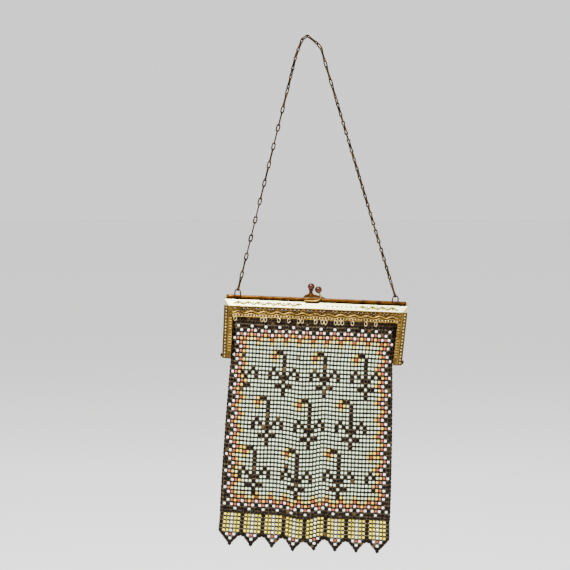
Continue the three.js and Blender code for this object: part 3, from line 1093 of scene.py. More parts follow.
@dataclass(frozen=True)
class Chart:
    """The chart of one face: a zigzag border of three colours round a field of sprigs."""

    columns: int = 49
    last_row: int = 44
    bands: tuple[SprigBand, ...] = (
        SprigBand(6, (4, 16, 28, 40), True),
        SprigBand(17, (12, 24, 36)),
        SprigBand(29, (9, 21, 33, 45)),
    )

    @staticmethod
    def zigzag(place: int, valley: int) -> int:
        """A triangle wave of period 4, which is 0 at the valleys and 2 between them."""
        step = (place - valley) % 4
        return min(step, 4 - step)

    def depth_in_border(self, column: int, row: int) -> int:
        """How many plates a plate lies inside the border's outer edge.

        Args:
            column: Its column.
            row: Its row.

        Returns:
            Less than 0 outside, 0 to 2 in the zigzag, and more inside it.
        """
        return min(
            row - self.zigzag(column, 2),
            self.last_row - row - self.zigzag(column, 4),
            column - 1 - self.zigzag(row, 3),
            self.columns - 1 - column - 1 - self.zigzag(row, 3),
        )

    def sprig(self, column: int, row: int) -> Enamel:
        """The enamel that the sprigs give a plate of the field.

        Args:
            column: Its column.
            row: Its row.

        Returns:
            The enamel.
        """
        for band in self.bands:
            line = row - band.first_row
            if band.short and line >= SHORT_SPRIG_SKIPS:
                line += 1
            if not 0 <= line < len(SPRIG):
                continue
            letters = SPRIG[line]
            for stem in band.stems:
                across = column - stem + len(letters) // 2
                if 0 <= across < len(letters) and letters[across] != ".":
                    return Enamel(letters[across])
        return Enamel.FIELD

    def enamel(self, column: int, row: int) -> Enamel:
        """The enamel of one plate of a face.

        Args:
            column: Its column, from 0 at the left.
            row: Its row, from 0 at the border's top.

        Returns:
            The enamel.
        """
        depth = self.depth_in_border(column, row)
        if depth < 0:
            return Enamel.BLACK
        if depth > 2:
            return self.sprig(column, row)
        return (Enamel.WHITE, Enamel.RED, Enamel.YELLOW)[depth]


@dataclass
class PlateShape:
    """One plate: a square pillow, with an arm at each corner that is bent back into the rings."""

    cell_x: float = 2.8
    cell_z: float = 3.43
    dome: float = 0.8
    arm_back: float = 0.3

    def ring(self, quarter: Sequence[tuple[float, float, float]]) -> list[Vector]:
        """Mirrors the corners of a quarter to a whole ring, anticlockwise from the right.

        Args:
            quarter: Half width, height forward and half height of each corner of the first quarter.

        Returns:
            The ring's points in metres.
        """
        points = []
        for across, along, backward in ((1, 1, False), (-1, 1, True), (-1, -1, False), (1, -1, True)):
            for x, out, z in reversed(quarter) if backward else quarter:
                points.append(Vector((across * x * self.cell_x, -out, along * z * self.cell_z)) * MM)
        return points

    def build(self) -> bpy.types.Object:
        """Builds the plate as a closed shape.

        Returns:
            The plate, with how high each point stands on it as an attribute.
        """
        out, back = self.dome, -self.arm_back
        outline = self.ring(((0.5, 0, 0.15), (0.495, 0, 0.36), (0.47, back, 0.47), (0.35, 0, 0.495)))
        shoulder = self.ring(((0.35, out * 0.6, 0.11), (0.22, out * 0.6, 0.27)))
        crown = self.ring(((0.22, out * 0.93, 0.06), (0.12, out * 0.93, 0.15)))
        points = [*outline, *shoulder, *crown, Vector((0, -out, 0)) * MM]
        wide, narrow = len(outline), len(shoulder)
        faces = []
        for i in range(narrow):
            here, after = wide + i, wide + (i + 1) % narrow
            a, b, c = 2 * i, 2 * i + 1, (2 * i + 2) % wide
            faces += [(a, b, here), (b, c, after), (b, after, here)]
            up, up_after = here + narrow, after + narrow
            faces += [(here, after, up_after), (here, up_after, up)]
            faces.append((up, up_after, wide + 2 * narrow))
        faces.append(tuple(reversed(range(wide))))
        plate = mesh_of("plate", points, faces=faces)
        plate.data.polygons.foreach_set("use_smooth", [True] * (len(faces) - 1) + [False])
        rises = [0.0] * wide + [0.6] * narrow + [0.95] * narrow + [1.0]
        plate.data.attributes.new("crown", "FLOAT", "POINT").data.foreach_set("value", rises)
        for edge in plate.data.edges:
            edge.use_edge_sharp = all(v < wide for v in edge.vertices)
        return plate


Axes = tuple[Vector, Vector, Vector]


@dataclass
class Mesh:
    """The purse's mesh: the plates of both faces and of the fringe, and the rings that link them."""

    copies: Copies
    chart: Chart = Chart()
    row_pitch: float = 3.4295
    first_row_z: float = -21.1
    top_row_pitch: float = 2.64
    top_rows: int = 2
    seam_row_z: float = -174.6
    ripple: float = 0.5
    slump: float = 2.2
    slump_at: float = 3.0
    slump_width: float = 9.0
    tip_degrees: float = 3.0
    ring_depth: float = 0.3
    edge_plate: float = 0.95
    edge_drop: float = 0.16
    tip_lift: float = 0.6
    notch_lift: float = 0.02
    notch_reach: float = 0.42
    end_column: float = 0.7
    end_widening: float = 1.4
    fringe_top: float = -177.4
    fringe_pitch: float = 3.35
    fringe_rows: int = 5
    fringe_half_depth: float = 0.35
    seed: int = 1926

    def __post_init__(self) -> None:
        """Starts the random draws and makes the shapes that repeat."""
        self.chance = random.Random(self.seed)
        self.enamelling = Enamelling().paint()
        self.links = LINKS.paint()
        self.plate = PlateShape().build()

    def row_height(self, row: int) -> float:
        """The height of a row's middle, with the last row and the top ones closer together."""
        if row > self.chart.last_row:
            return self.seam_row_z
        if row < 0:
            return self.first_row_z + self.row_pitch / 2 - self.top_row_pitch * (row + 0.5)
        return self.first_row_z - self.row_pitch * row

    def wobble(self, x: float, z: float) -> float:
        """A small uneven lift of the rows, in millimetres, with a slump low down near the middle."""
        low = min(1.0, max(0.0, (BAG.top - z) / BAG.height)) ** 2
        slump = self.slump * low * math.exp(-(((x - self.slump_at) / self.slump_width) ** 2))
        return self.ripple * noise.noise(Vector((x * 0.05, z * 0.016, 3.7))) - slump

    def face_rows(self, face: Face) -> list[list[Vector]]:
        """Traces every row of a face, with one more above and below for the slopes.

        Args:
            face: The face.

        Returns:
            Hung points in metres, half a plate apart, from the left fold to the right one. The
            plates lie on the odd ones and the rings between them on the even ones.
        """
        heights = [self.row_height(row) for row in range(-self.top_rows, self.chart.last_row + 2)]
        heights = [2 * heights[0] - heights[1], *heights, 2 * heights[-1] - heights[-2]]
        rows = []
        for height in heights:
            outline = BAG.outline((BAG.top - height) / BAG.height, face)
            line = spaced(outline, 2 * self.chart.columns + 1, self.end_column)
            rows.append([BAG.place(p.x, p.y, p.z + self.wobble(p.x, p.z)) for p in line])
        return rows

    def axes(self, rows: Sequence[Sequence[Vector]], i: int, j: int, face: Face) -> tuple[Axes, float, float]:
        """The axes of the mesh at a point and the spacing of its plates there.

        Args:
            rows: The points of all rows.
            i: The row.
            j: The point's place in it.
            face: The face.

        Returns:
            The axes, and the spacing across and along.
        """
        up = (rows[i - 1][j] - rows[i + 1][j]) / 2
        if 0 < j < len(rows[i]) - 1:
            right = (rows[i][j + 1] - rows[i][j - 1]) * -face.value
        else:
            right = Vector((0, 0.001 if j else -0.001, 0))
        across = right.normalized()
        inward = up.cross(across).normalized()
        return (across, inward, across.cross(inward)), right.length, up.length

    def tint(self, enamel: Enamel) -> tuple[float, float, float]:
        """Draws one plate's colour.

        Args:
            enamel: Its enamel.

        Returns:
            The colour.
        """
        look = LOOKS[enamel]
        light = 1 + look.vary * self.chance.uniform(-1, 0.6)
        warm = 0.04 * self.chance.uniform(-1, 1)
        red, green, blue, _ = look.colour
        return (red * (light + warm), green * light, blue * (light - warm))

    def worn(self, enamel: Enamel) -> float:
        """Draws how far one plate is worn."""
        if self.chance.random() < LOOKS[enamel].wear:
            return self.chance.uniform(0.5, 1)
        return self.chance.uniform(0, 0.3)

    def plate_copy(self, at: Vector, axes: Axes, wide: float, tall: float, enamel: Enamel) -> Copy:
        """Draws one plate, tipped a little as each one hangs.

        Args:
            at: Its place.
            axes: The mesh's axes there.
            wide: The spacing across, in metres.
            tall: The spacing along, in metres.
            enamel: Its enamel.

        Returns:
            The plate.
        """
        nod, sway = (math.radians(self.chance.gauss(0, self.tip_degrees)) for _ in range(2))
        tip = Matrix.Rotation(nod, 3, axes[0]) @ Matrix.Rotation(sway, 3, axes[2])
        stretch = (wide / (PlateShape.cell_x * MM), 1, tall / (PlateShape.cell_z * MM))
        tipped = (tip @ axes[0], tip @ axes[1], tip @ axes[2])
        return Copy(at, tipped, stretch, self.tint(enamel), self.worn(enamel))

    def face_plates(self, face: Face) -> list[Copy]:
        """Places a face's plates.

        Args:
            face: The face.

        Returns:
            The plates.
        """
        rows = self.face_rows(face)
        plates = []
        for i in range(1, len(rows) - 1):
            for place in range(self.chart.columns):
                j = 2 * place + 1
                axes, wide, tall = self.axes(rows, i, j, face)
                if place in (0, self.chart.columns - 1):
                    wide *= self.end_widening
                column = place if face is Face.FRONT else self.chart.columns - 1 - place
                enamel = self.chart.enamel(column, i - 1 - self.top_rows)
                plates.append(self.plate_copy(rows[i][j], axes, wide, tall, enamel))
        return plates

    def face_rings(self, face: Face) -> list[Copy]:
        """Places the rings between every four plates, those on the folds with the front face.

        Args:
            face: The face.

        Returns:
            The rings.
        """
        rows = self.face_rows(face)
        last = 2 * self.chart.columns
        first, end = (0, last + 1) if face is Face.FRONT else (2, last)
        rings = []
        for i in range(1, len(rows) - 2):
            for j in range(first, end, 2):
                axes, _, _ = self.axes(rows, i, j, face)
                middle = (rows[i][j] + rows[i + 1][j]) / 2
                rings.append(Copy(middle + axes[1] * self.ring_depth * MM, axes))
        return rings

    def fringe_enamel(self, column: int, row: int) -> Enamel | None:
        """The enamel of one plate of the fringe, or None where there is no plate.

        Args:
            column: Its column.
            row: Its row, from 0 at the top.

        Returns:
            The enamel or None.
        """
        step = column % TAB_COLUMNS
        if not 0 <= column < self.chart.columns:
            return None
        if row < self.fringe_rows:
            if step == 0:
                return Enamel.BLACK
            return Enamel.WHITE if step == TAB_COLUMNS // 2 else Enamel.TAB
        line = row - self.fringe_rows
        letter = TAB_POINT[line][step - 1] if step and line < len(TAB_POINT) else "."
        return None if letter == "." else Enamel(letter)

    def fringe_point(self, column: float, row: float, face: Face) -> Vector:
        """The hung place of a point of the fringe.

        Args:
            column: Its column.
            row: Its row.
            face: The face.

        Returns:
            The point in metres.
        """
        half = BAG.bottom_width / 2
        x = 2 * half * (column + 0.5) / self.chart.columns - half
        z = self.fringe_top - row * self.fringe_pitch + BAG.sag(x / half, 1)
        return BAG.place(x, face.value * self.fringe_half_depth, z + self.wobble(x, z))

    def fringe(self, face: Face) -> tuple[list[Copy], list[Copy]]:
        """Places the fringe's plates on one face, and the rings between them.

        Args:
            face: The face.

        Returns:
            The plates and the rings.
        """
        pitch = BAG.bottom_width / self.chart.columns * MM
        across = HUNG.turn(Vector((-face.value, 0, 0)))
        inward = Vector((0, -face.value, 0))
        axes = (across, inward, across.cross(inward))
        plates, rings = [], []
        for row in range(self.fringe_rows + len(TAB_POINT)):
            for column in range(-1, self.chart.columns):
                enamel = self.fringe_enamel(column, row)
                if enamel is not None:
                    at = self.fringe_point(column, row, face)
                    plates.append(self.plate_copy(at, axes, pitch, self.fringe_pitch * MM, enamel))
                if self.met(column, row) > 1:
                    corner = self.fringe_point(column + 0.5, row + 0.5, face)
                    rings.append(Copy(corner + inward * self.ring_depth * MM, axes))
        aslant = Matrix.Rotation(math.radians(45), 3, inward)
        slanted = (aslant @ across, inward, aslant @ axes[2])
        small = pitch * self.edge_plate
        for place in self.fringe_edges():
            at = self.fringe_point(*place, face)
            plates.append(self.plate_copy(at, slanted, small, small, Enamel.BLACK))
        return plates, rings

    def fringe_edges(self) -> list[tuple[float, float]]:
        """Finds the columns and rows of the slanted plates round the points, tips and notches last."""
        rows = self.fringe_rows + len(TAB_POINT)
        columns = self.chart.columns
        edges = []
        for row in range(self.fringe_rows - 1, rows):
            for column in range(-1, columns):
                if self.met(column, row) == 3:
                    edges.append((column + 0.5, row + 0.5 + self.edge_drop))
        edges += [(column, rows - self.tip_lift) for column in range(TAB_COLUMNS // 2, columns, TAB_COLUMNS)]
        for way in (-1, 1):
            for column in range(TAB_COLUMNS, columns - 1, TAB_COLUMNS):
                edges.append((column + self.notch_reach * way, self.fringe_rows - self.notch_lift))
        return edges

    def met(self, column: int, row: int) -> int:
        """Counts the fringe's plates that meet at a plate's lower right corner."""
        around = ((column, row), (column + 1, row), (column, row + 1), (column + 1, row + 1))
        return sum(self.fringe_enamel(*place) is not None for place in around)

    def ring_shape(self) -> bpy.types.Object:
        """Builds the small ring that links four plates."""
        radius, wire, sides = 0.46, 0.19, 8
        points, faces = [], []
        for i in range(sides):
            turn = 2 * math.pi * i / sides
            for k in range(3):
                tilt = 2 * math.pi * k / 3
                reach = radius + wire * math.cos(tilt)
                across, along = reach * math.cos(turn), reach * math.sin(turn)
                points.append(Vector((across, wire * math.sin(tilt), along)) * MM)
        for i in range(sides):
            for k in range(3):
                a, b = 3 * i + k, 3 * i + (k + 1) % 3
                c, d = (b + 3) % (3 * sides), (a + 3) % (3 * sides)
                faces.append((a, b, c, d))
        ring = mesh_of("link_ring", points, faces=faces)
        ring.data.polygons.foreach_set("use_smooth", [True] * len(faces))
        return ring

    def build(self) -> None:
        ring = self.ring_shape()
        for face in Face:
            word = face.name.lower()
            bag, fringe = (["mesh_bag"], ["mesh_fringe"]) if face is Face.FRONT else ([], [])
            tabs, links = self.fringe(face)
            for name, shape, copies, finish, replaces in (
                ("mesh_plates", self.plate, self.face_plates(face), self.enamelling, bag),
                ("mesh_rings", ring, self.face_rings(face), self.links, []),
                ("fringe_plates", self.plate, tabs, self.enamelling, fringe),
                ("fringe_rings", ring, links, self.links, []),
            ):
                ride(self.copies.grow(f"{name}_{word}", shape, copies, finish), replaces)
        for shape in (self.plate, ring):
            bpy.data.objects.remove(shape)


# The frame's trim


@dataclass
class LeafTrim:
    """The relief on one leaf: mouldings, beads, garland, petals and the rings that hold the mesh."""

    wires: Wires
    beads: Beads
    copies: Copies
    face: Face
    bead_pitch: float = 2.4
    bead_radius: float = 0.62
    arm_bead_pitch: float = 2.6
    rib_pitch: float = 2.2
    cartouche_ends: tuple[float, float] = (-9.1, 7.1)
    scroll_starts: tuple[tuple[int, float], ...] = ((-1, 12.0), (1, 35.5))
    scroll_wave: float = 8.2
    scroll_rise: float = 0.9
    studs_from: float = 9.4
    stud_steps: int = 24
    stud_pitch: float = 3.4
    stud_radius: float = 0.72
    hooks: int = 49
    hook_wire: float = 0.24
    bright_rings: float = 0.24

    def point(self, x: float, out: float, z: float) -> Vector:
        """Places a point on this leaf, out being its distance from the seam."""
        return LEAF.place(x, self.face.value * out, z)

    def line(self, ends: Sequence[tuple[float, float, float]], steps: int = 24) -> list[Vector]:
        """A straight line on the leaf in several steps, so that it leans with it.

        Args:
            ends: Its two ends.
            steps: How many steps it has.

        Returns:
            Its points.
        """
        a, b = Vector(ends[0]), Vector(ends[1])
        return [self.point(*a.lerp(b, i / steps)) for i in range(steps + 1)]

    def band_out(self, z: float) -> float:
        """How far out the sloped band lies at a height."""
        return LEAF.top_flat + (LEAF.depth - LEAF.top_flat) * min(1.0, -z / LEAF.band)

    def mouldings(self) -> None:
        """Adds the edge lines of the band, the apron and the arms."""
        edge = LEAF.half - LEAF.arm_bevel
        foot = -LEAF.height + 0.4
        out = LEAF.depth
        for side in (-1, 1):
            high = (side * edge, out, -LEAF.band)
            self.wires.add(self.line((high, (side * edge, out, foot))), thick=0.8)
            self.wires.add(self.line(((side * LEAF.half, LEAF.top_flat, 0), high)), thick=0.6)
            inner, proud = side * (LEAF.inner_half + 0.15), out + 0.3
            ends = ((inner, proud, -LEAF.apron), (inner, proud, foot + LEAF.foot))
            self.wires.add(self.line(ends), thick=0.7)
        self.wires.add(self.line(((-edge, out, -LEAF.band), (edge, out, -LEAF.band)), 60), thick=0.8)
        low = -LEAF.apron + 0.35
        self.wires.add(self.line(((-LEAF.inner_half, out, low), (LEAF.inner_half, out, low)), 60), thick=1.0)

    def garland(self) -> None:
        """Adds the wavy garland along the apron and the smaller wave inside it."""
        middle = -LEAF.band - (LEAF.apron - LEAF.band) * 0.5
        steps = LEAF.repeats * 16
        width = 2 * LEAF.inner_half
        for offset, swing, thick in ((0.0, LEAF.wave / 2, 1.35), (-1.9, 0.55, 0.7)):
            line = []
            for i in range(steps + 1):
                turn = 2 * math.pi * LEAF.repeats * i / steps
                x = -LEAF.inner_half + width * i / steps
                line.append(self.point(x, LEAF.depth + 0.3, middle + offset - swing * math.cos(turn)))
            self.wires.add(line, thick=thick)

    def petals(self) -> list[Copy]:
        """Places the petals round the openings of the apron."""
        repeat = 2 * LEAF.inner_half / LEAF.repeats
        tall = LEAF.apron - LEAF.band
        table = (
            (0.5, 0.2, 0, 1.1),
            (0.38, 0.26, 40, 0.85),
            (0.62, 0.26, -40, 0.85),
            (0.0, 0.3, 0, 1.0),
            (0.36, 0.68, 125, 0.9),
            (0.64, 0.68, -125, 0.9),
            (0.5, 0.76, 180, 0.9),
            *((at, 0.12, 180, 0.7) for at in (0.15, 0.85)),
            *((at, 0.4, 0, 0.7) for at in (0.15, 0.85)),
            *((at + way * 0.1, 0.26, way * 90, 0.7) for at in (0.15, 0.85) for way in (-1, 1)),
        )
        made = []
        for k in range(LEAF.repeats):
            for at, down, tilt, size in table:
                x = -LEAF.inner_half + (k + at) * repeat
                if x < -LEAF.inner_half + 0.5:
                    continue
                made.append(self.on_face(x, LEAF.depth, -LEAF.band - down * tall, tilt, size))
        for side in (-1, 1):
            x = side * (LEAF.inner_half + LEAF.strip / 2)
            for z in (-LEAF.band - tall * 0.3, -LEAF.band - tall * 0.72):
                made += [self.on_face(x, LEAF.depth + 0.1, z, tilt, 0.8) for tilt in (0, 90, 180, 270)]
        return made

    def on_face(self, x: float, out: float, z: float, tilt: float, size: float, slope: float = 0) -> Copy:
        """Places a petal on a face of the leaf.

        Args:
            x: Its place across.
            out: Its distance from the seam.
            z: Its height.
            tilt: Its turn in the face, in degrees.
            size: Its size, as a share of the petal's.
            slope: How far the face leans back, in degrees.

        Returns:
            The petal.
        """
        lean = Matrix.Rotation(math.radians(slope) * -self.face.value, 3, "X")
        up = lean @ Vector((0, 0, 1))
        inward = lean @ Vector((0, -self.face.value, 0))
        spin = Matrix.Rotation(math.radians(tilt), 3, inward)
        up = HUNG.turn(spin @ up)
        inward = HUNG.turn(inward)
        right = inward.cross(up)
        return Copy(self.point(x, out, z), (right, inward, up), (size, size, size))

    def band_line(self, points: Iterable[tuple[float, float]]) -> list[Vector]:
        """A line on the sloped band.

        Args:
            points: Places across and heights.

        Returns:
            Its points.
        """
        return [self.point(x, self.band_out(z), z) for x, z in points]

    def band_scrolls(self) -> list[Copy]:
        """Adds a running scroll on both sides of the band's plain middle, and places its leaves."""
        leaves = []
        slope = math.degrees(math.atan2(LEAF.depth - LEAF.top_flat, LEAF.band))
        middle = -LEAF.band / 2
        for side, start in self.scroll_starts:
            end = LEAF.half - 8
            steps = int((end - start) * 3)
            line = []
            for i in range(steps + 1):
                x = start + (end - start) * i / steps
                turn = 2 * math.pi * (x - start) / self.scroll_wave
                line.append((side * x, middle + self.scroll_rise * math.sin(turn)))
            self.wires.add(self.band_line(line), thick=2.0)
            for k in range(int((end - start) / (self.scroll_wave / 2))):
                x = start + self.scroll_wave / 2 * (k + 0.5)
                z = middle + (-0.5 if k % 2 == 0 else 0.5)
                tilt = side * (35 if k % 2 == 0 else 145)
                leaves.append(self.on_face(side * x, self.band_out(z), z, tilt, 1.5, slope))
        return leaves

    def band_studs(self, finish: bpy.types.Material) -> None:
        """Makes the run of small dark studs to the right of the band's plain middle.

        Args:
            finish: Their material.
        """
        middle = -LEAF.band / 2
        line = self.band_line([(self.studs_from + i, middle) for i in range(self.stud_steps)])
        name = f"band_studs_{self.face.name.lower()}"
        ride(self.beads.grow(name, [line], self.stud_pitch, self.stud_radius, finish))

    def cartouche(self) -> None:
        """Adds the lines round the band's plain middle."""
        left, right = self.cartouche_ends
        low, high = -LEAF.band + 0.3, -0.25
        corners = [(left, high), (left, low), (right, low), (right, high)]
        self.wires.add(self.band_line(corners), thick=0.75)

    def ribs(self) -> None:
        """Adds the ladder of ribs down each arm's raised strip."""
        length = LEAF.height - LEAF.apron - LEAF.foot
        out = LEAF.depth + LEAF.strip_proud
        for side in (-1, 1):
            for k in range(int(length / self.rib_pitch)):
                z = -LEAF.apron - (k + 0.6) * self.rib_pitch
                near, far = LEAF.inner_half + 0.45, LEAF.inner_half + LEAF.strip - 0.2
                self.wires.add(self.line(((side * near, out, z), (side * far, out, z)), 4), thick=1.3)

    def hook_ring(self, x: float, turn: float) -> list[Vector]:
        """The line of one ring that holds the mesh to the apron's lower edge.

        Args:
            x: Its place across.
            turn: How far it is turned about its upright axis.

        Returns:
            Its points.
        """
        ring = []
        for i in range(14):
            angle = 2 * math.pi * i / 14
            across, up = 1.2 * math.cos(angle), 1.75 * math.sin(angle)
            out = LEAF.depth + 0.65 - 0.25 * up + across * math.sin(turn)
            ring.append(self.point(x + across * math.cos(turn), out, -LEAF.apron - 1.5 + up))
        return ring

    def hook_rings(self, finishes: Mapping[str, bpy.types.Material]) -> None:
        """Makes the rings that hold the mesh, most of them tarnished dark.

        Args:
            finishes: The materials by name.
        """
        chance = random.Random(self.face.value)
        pitch = 2 * (LEAF.inner_half - 1) / self.hooks
        rings = []
        for k in range(self.hooks):
            x = -LEAF.inner_half + 1 + (k + 0.5) * pitch
            rings.append((self.hook_ring(x, math.radians(18 if k % 2 else -18)), chance.random()))
        word = self.face.name.lower()
        for name, finish, bright in (("bright", "pale_gilt", True), ("dark", "dark_bronze", False)):
            for ring, draw in rings:
                if (draw < self.bright_rings) is bright:
                    self.wires.add(ring, closed=True)
            ride(self.wires.grow(f"{name}_hooks_{word}", self.hook_wire, 6, finishes[finish]))

    def corner_blocks(self, finish: bpy.types.Material) -> None:
        """Makes the small pale blocks at both ends of the leaf's top.

        Args:
            finish: Their material.
        """
        copies = []
        axes = (HUNG.turn(Vector((1, 0, 0))), Vector((0, 1, 0)), HUNG.turn(Vector((0, 0, 1))))
        for side in (-1, 1):
            copies.append(Copy(self.point(side * (LEAF.half - 0.95), LEAF.top_flat / 2, 1.3), axes))
        block = soft_block(1.7, LEAF.top_flat, 2.6, 0.35)
        ride(self.copies.grow(f"corner_blocks_{self.face.name.lower()}", block, copies, finish))
        bpy.data.objects.remove(block)

    def build(self, petal: bpy.types.Object, finishes: Mapping[str, bpy.types.Material]) -> None:
        """Args:
            petal: The petal's shape.
            finishes: The materials by name.
        """
        word = self.face.name.lower()
        gilt, pale, scroll = finishes["gilt_trim"], finishes["pale_gilt"], finishes["scroll_gilt"]
        self.mouldings()
        self.garland()
        self.ribs()
        ride(self.wires.grow(f"leaf_mouldings_{word}", 0.42, 8, gilt))
        ride(self.copies.grow(f"apron_petals_{word}", petal, self.petals(), gilt))
        leaves = self.band_scrolls()
        ride(self.wires.grow(f"band_scrolls_{word}", 0.36, 6, scroll))
        ride(self.copies.grow(f"band_leaves_{word}", petal, leaves, scroll))
        self.cartouche()
        ride(self.wires.grow(f"band_lines_{word}", 0.36, 6, finishes["dark_bronze"]))
        self.band_studs(finishes["dark_bronze"])
        self.hook_rings(finishes)
        self.corner_blocks(pale)
        edge = LEAF.inner_half - 0.6
        out = LEAF.depth + 0.05
        low = -LEAF.apron + 1.5
        lines = [self.line(((-edge, out, low), (edge, out, low)), 60)]
        ride(self.beads.grow(f"apron_beads_{word}", lines, self.bead_pitch, self.bead_radius, pale))
        channel = LEAF.half - LEAF.arm_bevel / 2
        out = (LEAF.top_flat + LEAF.depth) / 2
        high, foot = -LEAF.band - 2, -LEAF.height + 2
        lines = [self.line(((side * channel, out, high), (side * channel, out, foot))) for side in (-1, 1)]
        pitch, radius = self.arm_bead_pitch, self.bead_radius
        ride(self.beads.grow(f"arm_beads_{word}", lines, pitch, radius, pale))


def soft_block(wide: float, deep: float, tall: float, soft: float) -> bpy.types.Object:
    """Builds a block with its edges cut off.

    Args:
        wide: Its size along X, in millimetres.
        deep: Its size along Y.
        tall: Its size along Z.
        soft: How much is cut off.

    Returns:
        The block.
    """
    points = []
    for x in (-1, 1):
        for y in (-1, 1):
            for z in (-1, 1):
                corner = Vector((x * wide / 2, y * deep / 2, z * tall / 2))
                for axis in range(3):
                    inner = Vector((x, y, z)) * soft
                    inner[axis] = 0
                    points.append((corner - inner) * MM)
    work = bmesh.new()
    for point in points:
        work.verts.new(point)
    bmesh.ops.convex_hull(work, input=work.verts)
    mesh = bpy.data.meshes.new("soft_block")
    work.to_mesh(mesh)
    work.free()
    return shown("soft_block", mesh)


def petal_shape() -> bpy.types.Object:
    """Builds a small domed petal, with its point up.

    Returns:
        The petal.
    """
    left = [(-0.34, 0.7), (-0.46, 0.1), (-0.3, -0.45)]
    outline = [(0.0, 1.25), *left, (0.0, -0.7), *((-x, z) for x, z in reversed(left))]
    points = [Vector((x, 0.2, z)) * MM for x, z in outline]
    points += [Vector((0.5 * x, -0.34, 0.5 * z + 0.05)) * MM for x, z in outline]
    points.append(Vector((0, -0.44, 0.1)) * MM)
    count = len(outline)
    faces = []
    for i in range(count):
        after = (i + 1) % count
        faces.append((i, i + count, after + count, after))
        faces.append((i + count, 2 * count, after + count))
    faces.append(tuple(range(count)))
    petal = mesh_of("petal", points, faces=faces)
    petal.data.polygons.foreach_set("use_smooth", [True] * len(faces))
    return petal


# Turned pieces: the rail, the clasp and the hinge pins


def lathe(
    name: str,
    profile: Sequence[tuple[float, float]],
    place: Callable[[float, float, float], Vector],
    sides: int,
    finish: bpy.types.Material,
) -> bpy.types.Object:
    """Turns a profile round an axis.

    Args:
        name: The object's name.
        profile: Radius and place along the axis, from pole to pole, in millimetres.
        place: Gives the hung point of (right, forward, along).
        sides: How many sides it has.
        finish: Its material.

    Returns:
        The object.
    """
    points = [place(0, 0, profile[0][1])]
    for radius, along in profile[1:-1]:
        for i in range(sides):
            turn = 2 * math.pi * i / sides
            points.append(place(radius * math.cos(turn), radius * math.sin(turn), along))
    points.append(place(0, 0, profile[-1][1]))
    rows = len(profile) - 2
    faces = []
    for i in range(sides):
        after = (i + 1) % sides
        faces.append((0, 1 + after, 1 + i))
        for row in range(rows - 1):
            low = 1 + row * sides
            faces.append((low + i, low + after, low + sides + after, low + sides + i))
        last = 1 + (rows - 1) * sides
        faces.append((last + i, last + after, len(points) - 1))
    made = mesh_of(name, points, faces=faces)
    made.data.polygons.foreach_set("use_smooth", [True] * len(faces))
    made.data.materials.append(finish)
    return made


def outward(piece: bpy.types.Object) -> bpy.types.Object:
    """Turns a closed mesh's faces outwards.

    Args:
        piece: The piece.

    Returns:
        The piece.
    """
    work = bmesh.new()
    work.from_mesh(piece.data)
    bmesh.ops.remove_doubles(work, verts=work.verts, dist=1e-7)
    bmesh.ops.recalc_face_normals(work, faces=work.faces)
    work.to_mesh(piece.data)
    work.free()
    return piece


def joined(name: str, parts: Sequence[bpy.types.Object]) -> bpy.types.Object:
    """Joins objects into one piece.

    Args:
        name: The piece's name.
        parts: The objects, which are used up.

    Returns:
        The piece.
    """
    with bpy.context.temp_override(active_object=parts[0], selected_editable_objects=list(parts)):
        bpy.ops.object.join()
    parts[0].name = name
    parts[0].data.name = name
    return parts[0]


